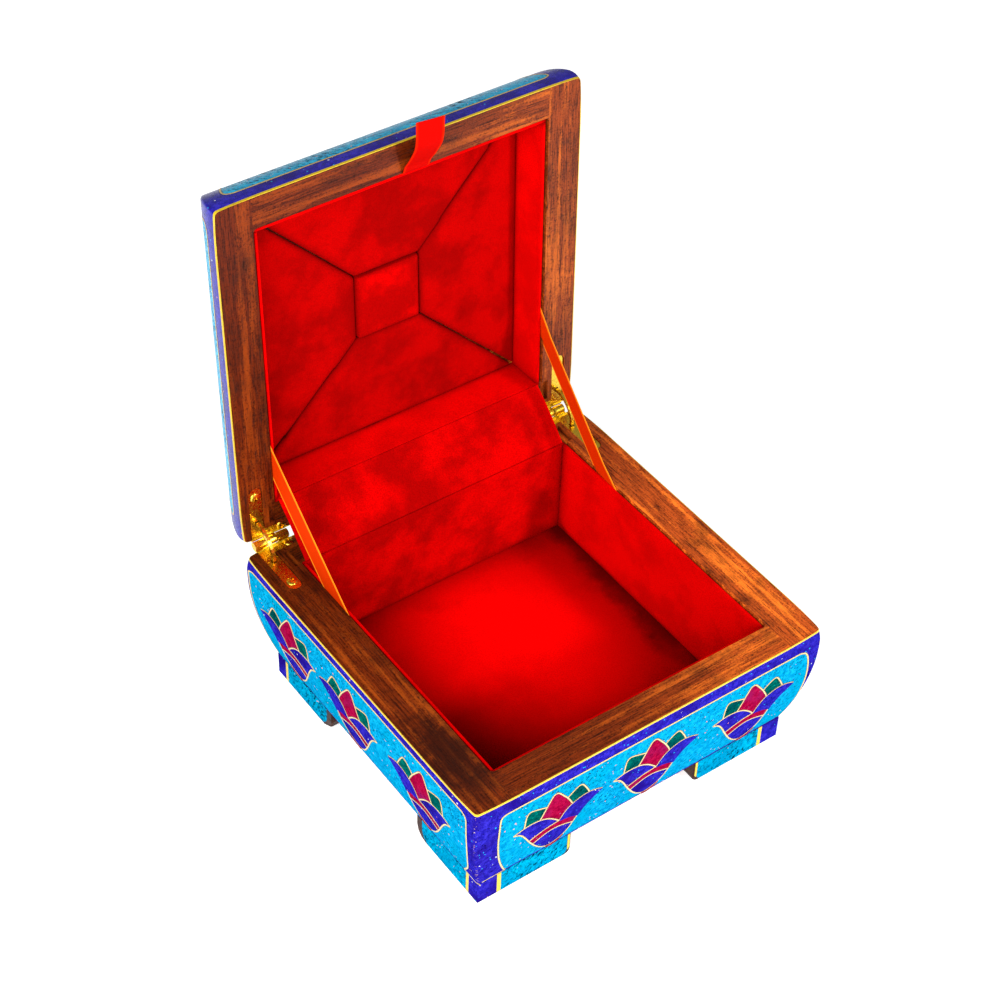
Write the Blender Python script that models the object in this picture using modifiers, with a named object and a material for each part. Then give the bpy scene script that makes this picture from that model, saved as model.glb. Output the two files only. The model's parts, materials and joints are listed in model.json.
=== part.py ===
"""Inlaid wooden jewellery box with velvet lining, shown with its lid open on the stays.

Metres, +Z up. The box faces -Y. The origin lies on the table under the middle of the open box.
"""
import math

import bmesh
import bpy
from mathutils import Matrix, Vector

# Outside of the case
CASE_WIDTH = 0.180
CASE_DEPTH = 0.174
RIM_HEIGHT = 0.071
STRAIGHT_BAND = 0.010
CASE_TAPER = 0.0086
CASE_BOTTOM = 0.0035

# Outside of the lid: how far it stays inside the case's sides and front
LID_SIDE_STEP = 0.0014
LID_FRONT_STEP = 0.0005
LID_HEIGHT = 0.033
LID_CROWN = 0.028

# Corners of both shells, eased where they meet at the rims
CORNER_RADIUS = 0.001
RIM_CORNER_RADIUS = 0.002
EASE_CUT = 0.0008
EASE_LENGTH = 0.024
EASE_DROP = 0.008

# Walls and inside of both shells
SIDE_WALL = 0.0182
END_WALL = 0.0152
CAVITY_RADIUS = 0.002
LID_CAVITY_DEPTH = 0.021
REBATE_OVERHANG = 0.0032
REBATE_WIDTH = 0.009
REBATE_DEPTH = 0.0018

# Feet
FOOT_HEIGHT = 0.013
FOOT_FRONT_LEG = 0.048
FOOT_SIDE_LEG = 0.045
FOOT_THICKNESS = 0.0095
FOOT_FRONT_RADIUS = 0.003
FOOT_SIDE_RADIUS = 0.007
FOOT_EDGE = 0.0005

# Linings and soft pieces
GAP = 0.0003
CARD = 0.0012
LINING_DROP = 0.0010
RIBBON = 0.0004
RIBBON_WIDTH = 0.0127
FLAP = 0.0006
FLAP_SIDE_GAP = 0.0023
PAD_EDGE = 0.0017
PAD_INNER = 0.0039
PAD_CENTRE = 0.0045
PAD_SQUARE = 0.0326
PAD_SEAM = 0.0004

# Stays: where each ribbon's middle line crosses the two rims, measured from the back edges,
# and how far it is tucked in
STAY_CASE_OUT = {"left": 0.0430, "right": 0.0445}
STAY_LID_OUT = {"left": 0.0380, "right": 0.0435}
STAY_TUCK = 0.0105

# Pull tab: offset from the middle, reach past the lid's front edge, rise of its free end, and
# how far from its root it has curled up that far
TAB_X = 0.0046
TAB_TUCK = 0.006
TAB_REACH = 0.0135
TAB_RISE = 0.0102
TAB_CURL = 0.020

# Hinges
OPEN_ANGLE = math.radians(91.85)
CLOSED_GAP = 0.0006
HINGE_SETBACK = 0.003
HINGE_EDGE = 0.006
BARREL_LENGTH = 0.017
BARREL_RADIUS = 0.0020
PIN_RADIUS = 0.0009
PIN_CLEARANCE = 0.0001
KNUCKLE_PLAY = 0.0002
LEAF = 0.0011
LEAF_SINK = 0.0007
LEG_WIDTH = 0.0063
LEG_LENGTH = 0.0315
ARM_LENGTH = 0.0172
ARM_REACH = 0.0070
SCREW_SHANK = 0.0009
SCREW_HEAD = 0.0021
SCREW_HEAD_RISE = 0.0006
SCREW_LENGTH = 0.0065
LEG_SCREW_INSET = 0.0051
ARM_SCREW_OUT = 0.0046
ARM_SCREW_INSET = 0.0024
LINK_RADIUS = 0.0116
LINK_RADIAL = 0.0016
LINK_WIDTH = 0.0014
LINK_HIDDEN = 0.0010
LINK_SHARE = 0.53
LINK_PLAY = math.radians(2)

# Fineness of round shapes
EASE_STEPS = 4
CORNER_STEPS = 3
TAPER_STEPS = 8
CROWN_STEPS = 12
BARREL_SIDES = 16
SCREW_SIDES = 12
END_STEPS = 8
LINK_STEPS = 14
TAB_STEPS = 10

# Worked out from the sizes above
LID_WIDTH = CASE_WIDTH - 2 * LID_SIDE_STEP
LID_DEPTH = CASE_DEPTH - LID_FRONT_STEP
CAVITY_WIDTH = CASE_WIDTH - 2 * SIDE_WALL
CAVITY_LENGTH = CASE_DEPTH - 2 * END_WALL
FLAP_HALF_WIDTH = CAVITY_WIDTH / 2 - FLAP_SIDE_GAP
HINGE_OUTER_X = CASE_WIDTH / 2 - HINGE_EDGE
HINGE_Y = CASE_DEPTH / 2 + HINGE_SETBACK
HINGE_Z = RIM_HEIGHT + CLOSED_GAP / 2
LEAN = OPEN_ANGLE - math.radians(90)
BACK_REACH = (
    HINGE_Y
    + (CLOSED_GAP / 2 + LID_HEIGHT) * math.cos(LEAN)
    + (HINGE_SETBACK + LID_DEPTH - LID_CROWN) * math.sin(LEAN)
)
CASE_Y = (CASE_DEPTH / 2 - BACK_REACH) / 2
TUCK_GAP = RIBBON + 2 * GAP
LEAF_TOP = CLOSED_GAP / 2 + LEAF_SINK
LEAF_UNDER = LEAF_TOP + LEAF
LID_CAVITY_BACK = END_WALL
LID_CAVITY_FRONT = LID_CAVITY_BACK + CAVITY_LENGTH
LINK_BEYOND = math.asin((LEAF_UNDER + LINK_HIDDEN) / LINK_RADIUS)

COLOURS = {
    "inlay": ((0.0, 0.55, 0.78), 0.25, 0.0),
    "wood": ((0.20, 0.065, 0.022), 0.5, 0.0),
    "velvet": ((0.62, 0.0, 0.0), 0.95, 0.0),
    "ribbon": ((0.85, 0.035, 0.0), 0.6, 0.0),
    "brass": ((0.80, 0.55, 0.12), 0.25, 1.0),
}


def clear_scene():
    for item in list(bpy.data.objects):
        bpy.data.objects.remove(item, do_unlink=True)


def new_collection(name):
    collection = bpy.data.collections.new(name)
    bpy.context.scene.collection.children.link(collection)
    return collection


def make_material(name):
    colour, roughness, metallic = COLOURS[name]
    material = bpy.data.materials.new(name)
    material.use_nodes = True
    shader = material.node_tree.nodes["Principled BSDF"]
    shader.inputs["Base Color"].default_value = (*colour, 1)
    shader.inputs["Roughness"].default_value = roughness
    shader.inputs["Metallic"].default_value = metallic
    material.diffuse_color = (*colour, 1)
    return material


class Workshop:
    """The box's collections, materials and the frames that its pieces are placed in."""

    def __init__(self):
        self.parts = new_collection("jewellery_box")
        self.cutters = new_collection("cutters")
        self.materials = {name: make_material(name) for name in COLOURS}
        self.case = self.frame("case_frame", (0, CASE_Y, 0))
        self.hinge = self.frame("hinge_frame", (0, CASE_Y + HINGE_Y, HINGE_Z))
        self.lid = self.frame("lid_frame", (0, CASE_Y + HINGE_Y, HINGE_Z))
        self.lid.rotation_euler.x = -OPEN_ANGLE

    def frame(self, name, location):
        empty = bpy.data.objects.new(name, None)
        empty.location = location
        self.parts.objects.link(empty)
        return empty

    def piece(self, name, mesh, material, parent):
        """Place a piece; a second material, as in "wood inlay", is for its marked faces."""
        item = bpy.data.objects.new(name, mesh)
        item.parent = parent
        for part in material.split():
            mesh.materials.append(self.materials[part])
        self.parts.objects.link(item)
        return item

    def cut(self, target, name, mesh, parent):
        """Take a shape out of a piece, with the shape kept as a hidden cutter."""
        cutter = bpy.data.objects.new(name, mesh)
        cutter.parent = parent
        cutter.hide_render = True
        cutter.display_type = "WIRE"
        self.cutters.objects.link(cutter)
        self.combine(target, cutter, "DIFFERENCE")

    def join(self, target, name, mesh, parent):
        tool = bpy.data.objects.new(name, mesh)
        tool.parent = parent
        tool.hide_render = True
        tool.display_type = "WIRE"
        self.cutters.objects.link(tool)
        self.combine(target, tool, "UNION")

    @staticmethod
    def combine(target, tool, operation):
        boolean = target.modifiers.new(tool.name, "BOOLEAN")
        boolean.operation = operation
        boolean.solver = "EXACT"
        boolean.object = tool


def finished(bm, name):
    bmesh.ops.remove_doubles(bm, verts=bm.verts, dist=1e-6)
    bmesh.ops.recalc_face_normals(bm, faces=bm.faces)
    mesh = bpy.data.meshes.new(name)
    bm.to_mesh(mesh)
    bm.free()
    return mesh


def block(name, low, high):
    """An axis-aligned block between two corners."""
    bm = bmesh.new()
    bmesh.ops.create_cube(bm, size=1)
    low, high = Vector(low), Vector(high)
    size = high - low
    middle = (low + high) / 2
    for vert in bm.verts:
        vert.co = Vector(c * s for c, s in zip(vert.co, size)) + middle
    return finished(bm, name)


def well(name, half_width, y_low, y_high, z_low, z_high, radius):
    """A block with its four upright edges rounded."""
    mesh = block(name, (-half_width, y_low, z_low), (half_width, y_high, z_high))
    bm = bmesh.new()
    bm.from_mesh(mesh)
    bpy.data.meshes.remove(mesh)
    upright = [e for e in bm.edges if abs(e.verts[0].co.z - e.verts[1].co.z) > (z_high - z_low) / 2]
    bmesh.ops.bevel(bm, geom=upright, offset=radius, segments=CORNER_STEPS, profile=0.5, affect="EDGES")
    return finished(bm, name)


def rod(name, radius, x_low, x_high, sides):
    """A round bar along X on the hinge axis."""
    bm = bmesh.new()
    turn = Matrix.Rotation(math.radians(90), 4, "Y")
    slide = Matrix.Translation(((x_low + x_high) / 2, 0, 0))
    bmesh.ops.create_cone(
        bm, cap_ends=True, segments=sides, radius1=radius, radius2=radius,
        depth=x_high - x_low, matrix=slide @ turn,
    )
    return finished(bm, name)


def plate(name, outline, low, high, axis="Z", holes=()):
    """A flat outline with thickness: (x, y) seen along Z, or (y, z) seen along X."""
    curve = bpy.data.curves.new(name, "CURVE")
    curve.dimensions = "2D"
    curve.fill_mode = "BOTH"
    curve.extrude = (high - low) / 2
    for loop in (outline, *holes):
        spline = curve.splines.new("POLY")
        spline.points.add(len(loop) - 1)
        spline.use_cyclic_u = True
        for point, (u, v) in zip(spline.points, loop):
            point.co = (u, v, 0, 1)
    holder = bpy.data.objects.new(name, curve)
    bpy.context.scene.collection.objects.link(holder)
    graph = bpy.context.evaluated_depsgraph_get()
    mesh = bpy.data.meshes.new_from_object(holder.evaluated_get(graph))
    bpy.data.objects.remove(holder)
    bpy.data.curves.remove(curve)
    bm = bmesh.new()
    bm.from_mesh(mesh)
    bpy.data.meshes.remove(mesh)
    middle = (low + high) / 2
    for vert in bm.verts:
        u, v, w = vert.co
        vert.co = (u, v, w + middle) if axis == "Z" else (w + middle, u, v)
    return finished(bm, name)


def arc(centre, radius, start, end, steps):
    """Points on an arc, both ends included; angles in radians from the first axis."""
    points = []
    for step in range(steps + 1):
        angle = start + (end - start) * step / steps
        points.append((centre[0] + radius * math.cos(angle), centre[1] + radius * math.sin(angle)))
    return points


def band(path, thickness):
    """The outline of a strip of even thickness along a path."""
    left, right = [], []
    for index, point in enumerate(path):
        before = path[max(index - 1, 0)]
        after = path[min(index + 1, len(path) - 1)]
        along = (Vector(after) - Vector(before)).normalized()
        side = Vector((-along.y, along.x)) * thickness / 2
        left.append(tuple(Vector(point) + side))
        right.append(tuple(Vector(point) - side))
    return left + right[::-1]


def level(half_x, half_y, cut, radius):
    """One level of a shell's outside: straight sides that ease in towards rounded corners."""
    def side(half, reach):
        """Distance along a side and how far the side has eased in there."""
        start = half - EASE_LENGTH
        end = half - cut - radius
        for step in range(EASE_STEPS):
            share = step / EASE_STEPS
            yield start + (end - start) * share, reach - cut * share ** 2

    quarter = [(across, along) for along, across in side(half_y, half_x)]
    centre = (half_x - cut - radius, half_y - cut - radius)
    quarter += arc(centre, radius, 0, math.pi / 2, CORNER_STEPS)
    quarter += [(along, across) for along, across in side(half_x, half_y)][::-1]
    mirrored = [(-x, y) for x, y in reversed(quarter)]
    upper = quarter + mirrored
    return upper + [(-x, -y) for x, y in upper]


def eased(drop):
    """Cut and radius of the corners at a distance from the rim."""
    share = max(0, 1 - drop / EASE_DROP) ** 2
    return EASE_CUT * share, CORNER_RADIUS + (RIM_CORNER_RADIUS - CORNER_RADIUS) * share


def lofted(name, rings):
    """A closed shape through matching rings of points, from the lowest to the highest."""
    bm = bmesh.new()
    levels = [[bm.verts.new(point) for point in ring] for ring in rings]
    count = len(levels[0])
    for lower, upper in zip(levels, levels[1:]):
        for index in range(count):
            after = (index + 1) % count
            face = bm.faces.new((lower[index], lower[after], upper[after], upper[index]))
            face.material_index = 1
    bm.faces.new(levels[0][::-1])
    bm.faces.new(levels[-1])
    bmesh.ops.triangulate(bm, faces=[face for face in bm.faces if len(face.verts) == 4])
    return finished(bm, name)


def hexahedron(name, corners):
    """A block whose eight corners are given for the signs of its three axes."""
    bm = bmesh.new()
    bmesh.ops.create_cube(bm, size=2)
    for vert in bm.verts:
        vert.co = corners[tuple(int(round(c)) for c in vert.co)]
    return finished(bm, name)


def shade_round(item):
    item.data.shade_smooth()
    item.data.set_sharp_from_angle(angle=math.radians(35))


def on_open_lid(out, rise):
    """Case frame (y, z) of a point on the open lid: out from its back edge, rise above its rim."""
    ahead = HINGE_SETBACK + out
    above = CLOSED_GAP / 2 + rise
    y = HINGE_Y - ahead * math.cos(OPEN_ANGLE) + above * math.sin(OPEN_ANGLE)
    z = HINGE_Z + ahead * math.sin(OPEN_ANGLE) + above * math.cos(OPEN_ANGLE)
    return y, z


def lid_y(out):
    """Closed position in the lid's frame of a distance from the lid's back edge."""
    return -HINGE_SETBACK - out


def case_shell(shop):
    foot_top = FOOT_HEIGHT
    tapered = RIM_HEIGHT - foot_top - STRAIGHT_BAND
    drops = [0, EASE_DROP * 0.2, EASE_DROP * 0.4, EASE_DROP * 0.7, EASE_DROP]
    drops += [STRAIGHT_BAND + tapered * step / TAPER_STEPS for step in range(TAPER_STEPS + 1)]
    rings = []
    for drop in reversed(drops):
        curve_in = CASE_TAPER * (max(0, drop - STRAIGHT_BAND) / tapered) ** 2
        cut, radius = eased(drop)
        outline = level(CASE_WIDTH / 2 - curve_in, CASE_DEPTH / 2 - curve_in, cut, radius)
        rings.append([(x, y, RIM_HEIGHT - drop) for x, y in outline])
    shell = shop.piece("case_shell", lofted("case_shell", rings), "wood inlay", shop.case)
    cavity = well(
        "case_cavity", CAVITY_WIDTH / 2, -CAVITY_LENGTH / 2, CAVITY_LENGTH / 2,
        foot_top + CASE_BOTTOM, RIM_HEIGHT + EASE_DROP, CAVITY_RADIUS,
    )
    shop.cut(shell, "case_cavity", cavity, shop.case)
    rebate = block(
        "case_rebate",
        (-CAVITY_WIDTH / 2 - REBATE_OVERHANG, CAVITY_LENGTH / 4, RIM_HEIGHT - REBATE_DEPTH),
        (CAVITY_WIDTH / 2 + REBATE_OVERHANG, CAVITY_LENGTH / 2 + REBATE_WIDTH, RIM_HEIGHT + EASE_DROP),
    )
    trim = CAVITY_LENGTH / 2 - CAVITY_RADIUS
    for vert in rebate.vertices:
        if vert.co.y < trim:
            vert.co.y = trim
    shop.cut(shell, "case_rebate", rebate, shop.case)
    shade_round(shell)
    return shell


def lid_shell(shop):
    rings = []
    base = CLOSED_GAP / 2
    middle = lid_y(LID_DEPTH / 2)
    rises = [0, EASE_DROP * 0.2, EASE_DROP * 0.4]
    rises += [LID_HEIGHT * math.sin(math.pi / 2 * step / CROWN_STEPS) for step in range(2, CROWN_STEPS + 1)]
    for rise in rises:
        curve_in = LID_CROWN * (1 - math.sqrt(max(0, 1 - (rise / LID_HEIGHT) ** 2)))
        cut, radius = eased(rise)
        outline = level(LID_WIDTH / 2 - curve_in, LID_DEPTH / 2 - curve_in, cut, radius)
        rings.append([(x, y + middle, base + rise) for x, y in outline])
    shell = shop.piece("lid_shell", lofted("lid_shell", rings), "wood inlay", shop.lid)
    cavity = well(
        "lid_cavity", CAVITY_WIDTH / 2, lid_y(LID_CAVITY_FRONT), lid_y(LID_CAVITY_BACK),
        -EASE_DROP, base + LID_CAVITY_DEPTH, CAVITY_RADIUS,
    )
    shop.cut(shell, "lid_cavity", cavity, shop.lid)
    rebate = block(
        "lid_rebate",
        (-CAVITY_WIDTH / 2 - REBATE_OVERHANG, lid_y(LID_CAVITY_BACK + CAVITY_RADIUS), -EASE_DROP),
        (CAVITY_WIDTH / 2 + REBATE_OVERHANG, lid_y(LID_CAVITY_BACK - REBATE_WIDTH), base + REBATE_DEPTH),
    )
    shop.cut(shell, "lid_rebate", rebate, shop.lid)
    shade_round(shell)
    return shell


def feet(shop):
    reach_x = CASE_WIDTH / 2 - CASE_TAPER
    reach_y = CASE_DEPTH / 2 - CASE_TAPER
    inner = FOOT_THICKNESS
    for row, sy in (("front", -1), ("back", 1)):
        for hand, sx in (("left", -1), ("right", 1)):
            corner = [
                (0, 0), (FOOT_FRONT_LEG, 0), (FOOT_FRONT_LEG, inner),
                (inner, inner), (inner, FOOT_SIDE_LEG), (0, FOOT_SIDE_LEG),
            ]
            outline = [(sx * (reach_x - u), sy * (reach_y - v)) for u, v in corner]
            name = f"foot_{row}_{hand}"
            mesh = plate(name, outline, 0, FOOT_HEIGHT - GAP)
            ends = (
                (0, reach_x - FOOT_FRONT_LEG, FOOT_FRONT_RADIUS),
                (1, reach_y - FOOT_SIDE_LEG, FOOT_SIDE_RADIUS),
            )
            bm = bmesh.new()
            bm.from_mesh(mesh)
            for axis, end, radius in ends:
                lower_end = [
                    edge for edge in bm.edges
                    if all(vert.co.z < GAP and abs(abs(vert.co[axis]) - end) < GAP for vert in edge.verts)
                ]
                bmesh.ops.bevel(
                    bm, geom=lower_end, offset=radius, segments=CORNER_STEPS, profile=0.5, affect="EDGES",
                )
            for face in bm.faces:
                middle = face.calc_center_median()
                if reach_x - abs(middle.x) < GAP or reach_y - abs(middle.y) < GAP:
                    face.material_index = 1
            bm.to_mesh(mesh)
            bm.free()
            foot = shop.piece(name, mesh, "wood inlay", shop.case)
            bevel = foot.modifiers.new("edges", "BEVEL")
            bevel.width = FOOT_EDGE
            bevel.segments = 1
            bevel.limit_method = "ANGLE"
            bevel.angle_limit = math.radians(50)
            shade_round(foot)


def case_linings(shop):
    floor = FOOT_HEIGHT + CASE_BOTTOM + GAP
    top = RIM_HEIGHT - LINING_DROP
    side_out = CAVITY_WIDTH / 2 - TUCK_GAP
    side_in = side_out - CARD
    end_out = CAVITY_LENGTH / 2 - GAP
    end_in = end_out - CARD
    floor_mesh = well(
        "case_floor_lining", side_out, -end_out, end_out, floor, floor + CARD, CAVITY_RADIUS,
    )
    shop.piece("case_floor_lining", floor_mesh, "velvet", shop.case)
    low = floor + CARD + GAP
    side_y = end_in - GAP
    for hand, sign in (("left", -1), ("right", 1)):
        faces = sorted((sign * side_in, sign * side_out))
        name = f"case_lining_{hand}"
        mesh = block(name, (faces[0], -side_y, low), (faces[1], side_y, top))
        shop.piece(name, mesh, "velvet", shop.case)
    for row, sign in (("front", -1), ("back", 1)):
        faces = sorted((sign * end_in, sign * end_out))
        name = f"case_lining_{row}"
        mesh = block(name, (-side_out, faces[0], low), (side_out, faces[1], top))
        shop.piece(name, mesh, "velvet", shop.case)


def lid_linings(shop):
    base = CLOSED_GAP / 2
    low = base + LINING_DROP
    roof = base + LID_CAVITY_DEPTH - GAP
    side_out = CAVITY_WIDTH / 2 - TUCK_GAP
    side_in = side_out - CARD
    front_out = LID_CAVITY_FRONT - TUCK_GAP
    front_in = front_out - CARD
    back_out = LID_CAVITY_BACK + GAP
    back_in = back_out + CARD
    for hand, sign in (("left", -1), ("right", 1)):
        faces = sorted((sign * side_in, sign * side_out))
        name = f"lid_band_{hand}"
        mesh = block(
            name,
            (faces[0], lid_y(front_in - GAP), low),
            (faces[1], lid_y(back_in + GAP), roof),
        )
        shop.piece(name, mesh, "velvet", shop.lid)
    for row, near, far in (("front", front_out, front_in), ("back", back_in, back_out)):
        name = f"lid_band_{row}"
        mesh = block(name, (-side_out, lid_y(near), low), (side_out, lid_y(far), roof))
        shop.piece(name, mesh, "velvet", shop.lid)
    lid_pads(shop, side_in - GAP, lid_y(front_in - GAP), lid_y(back_in + GAP), roof)


def lid_pads(shop, half_x, y_front, y_back, roof):
    """Four padded panels that slope from the bands to a raised square in the middle."""
    middle = (y_front + y_back) / 2
    half_y = (y_back - y_front) / 2
    square = PAD_SQUARE / 2
    seam = PAD_SEAM / 2
    hip = seam * math.sqrt(2)
    turns = {"front": -math.pi / 2, "right": 0.0, "back": math.pi / 2, "left": math.pi}
    for row, turn in turns.items():
        outer, width = (half_x, half_y) if row in ("left", "right") else (half_y, half_x)
        corners = {}
        for side in (-1, 1):
            for upper in (-1, 1):
                edge_z = roof if upper > 0 else roof - PAD_EDGE
                inner_z = roof if upper > 0 else roof - PAD_INNER
                corners[(1, side, upper)] = (outer, side * (width - hip), edge_z)
                corners[(-1, side, upper)] = (square + seam, side * (square - hip + seam), inner_z)
        name = f"lid_pad_{row}"
        mesh = hexahedron(name, corners)
        mesh.transform(Matrix.Translation((0, middle, 0)) @ Matrix.Rotation(turn, 4, "Z"))
        shop.piece(name, mesh, "velvet", shop.lid)
    name = "lid_pad_centre"
    mesh = block(
        name,
        (-square + seam, middle - square + seam, roof - PAD_CENTRE),
        (square - seam, middle + square - seam, roof),
    )
    shop.piece(name, mesh, "velvet", shop.lid)


def hinge_flap(shop):
    """Velvet strip from the top of the case's back lining to the lid's back band."""
    case_end = (CAVITY_LENGTH / 2 - GAP - CARD / 2 - FLAP / 2, RIM_HEIGHT - GAP)
    lid_end = on_open_lid(LID_CAVITY_BACK + GAP + CARD, LINING_DROP / 2)
    outline = band([case_end, lid_end], FLAP)
    mesh = plate("hinge_flap", outline, -FLAP_HALF_WIDTH, FLAP_HALF_WIDTH, axis="X")
    shop.piece("hinge_flap", mesh, "velvet", shop.case)


def stay_ribbons(shop):
    """Straight ribbons that limit the lid, each end tucked between lining and wood."""
    for hand, sign in (("left", -1), ("right", 1)):
        case_end = Vector((CASE_DEPTH / 2 - STAY_CASE_OUT[hand], RIM_HEIGHT))
        lid_end = Vector(on_open_lid(STAY_LID_OUT[hand], 0))
        along = (lid_end - case_end).normalized() * STAY_TUCK
        middle = sign * (CAVITY_WIDTH / 2 - TUCK_GAP / 2)
        name = f"stay_ribbon_{hand}"
        outline = band([tuple(case_end - along), tuple(lid_end + along)], RIBBON_WIDTH)
        mesh = plate(name, outline, middle - RIBBON / 2, middle + RIBBON / 2, axis="X")
        shop.piece(name, mesh, "ribbon", shop.case)


def pull_tab(shop):
    """Ribbon that comes out between the front band and the wood and curls clear of the rim."""
    root = LID_CAVITY_FRONT - TUCK_GAP / 2
    base = CLOSED_GAP / 2
    path = [(lid_y(root), base + TAB_TUCK), (lid_y(root), base)]
    run = LID_DEPTH + TAB_REACH - root
    for step in range(1, TAB_STEPS + 1):
        ahead = run * step / TAB_STEPS
        rise = TAB_RISE * math.sin(math.pi / 2 * min(1, ahead / TAB_CURL)) ** 1.5
        path.append((lid_y(root + ahead), base - rise))
    low = TAB_X - RIBBON_WIDTH / 2
    mesh = plate("pull_tab", band(path, RIBBON), low, low + RIBBON_WIDTH, axis="X")
    shop.piece("pull_tab", mesh, "ribbon", shop.lid)


def leaf_outline(sign, extra=0.0):
    """L-shaped leaf seen from above in the closed lid's frame, grown all round by extra."""
    outer = HINGE_OUTER_X + extra
    leg_in = HINGE_OUTER_X - LEG_WIDTH - extra
    leg_radius = LEG_WIDTH / 2 + extra
    leg_centre = (HINGE_OUTER_X - LEG_WIDTH / 2, -LEG_LENGTH + LEG_WIDTH / 2)
    arm_end = HINGE_OUTER_X - ARM_LENGTH
    arm_back = PIN_RADIUS / 3
    arm_radius = (ARM_REACH - arm_back) / 2
    arm_centre = (arm_end + arm_radius, -ARM_REACH + arm_radius)
    points = [(outer, -arm_back + extra)]
    points += arc(arm_centre, arm_radius + extra, math.pi / 2, 3 * math.pi / 2, END_STEPS)
    points.append((leg_in, -ARM_REACH - extra))
    points += arc(leg_centre, leg_radius, math.pi, 2 * math.pi, END_STEPS)
    return [(sign * x, y) for x, y in points]


def circle(centre, radius, sides):
    return arc(centre, radius, 0, 2 * math.pi * (sides - 1) / sides, sides - 1)


def screw_places(sign):
    leg = (sign * (HINGE_OUTER_X - LEG_WIDTH / 2), -LEG_LENGTH + LEG_SCREW_INSET)
    arm = (sign * (HINGE_OUTER_X - ARM_LENGTH + ARM_SCREW_INSET), -ARM_SCREW_OUT)
    return [leg, arm]


def link_band(name, sign, start, end, clearance):
    """The curved link, or its slot, between two angles up from the case's rim plane."""
    inner = LINK_RADIUS - LINK_RADIAL / 2 - clearance
    outer = LINK_RADIUS + LINK_RADIAL / 2 + clearance
    middle = sign * (HINGE_OUTER_X - LEG_WIDTH / 2)
    half = LINK_WIDTH / 2 + clearance
    points = arc((0, 0), outer, math.pi - start, math.pi - end, LINK_STEPS)
    points += arc((0, 0), inner, math.pi - end, math.pi - start, LINK_STEPS)
    return plate(name, points, middle - half, middle + half, axis="X")


def screw(shop, name, place, facing, parent):
    """Round-head screw; its profile is turned about its own axis."""
    head_top = SCREW_HEAD_RISE
    rim = SCREW_HEAD_RISE * 0.25
    profile = [
        (0, head_top), (SCREW_HEAD * 0.55, head_top * 0.9), (SCREW_HEAD * 0.88, head_top * 0.6),
        (SCREW_HEAD, rim), (SCREW_HEAD, 0), (SCREW_SHANK, 0),
        (SCREW_SHANK, -SCREW_LENGTH + SCREW_SHANK), (0, -SCREW_LENGTH),
    ]
    mesh = bpy.data.meshes.new(name)
    edges = [(index, index + 1) for index in range(len(profile) - 1)]
    mesh.from_pydata([(x, 0, z) for x, z in profile], edges, [])
    item = shop.piece(name, mesh, "brass", parent)
    turn = item.modifiers.new("turned", "SCREW")
    turn.steps = SCREW_SIDES
    turn.render_steps = SCREW_SIDES
    turn.use_merge_vertices = True
    turn.merge_threshold = 0.00001
    turn.use_smooth_shade = True
    item.location = (*place, -facing * (LEAF_TOP - GAP / 3))
    if facing < 0:
        item.rotation_euler.x = math.pi
    return item


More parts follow.
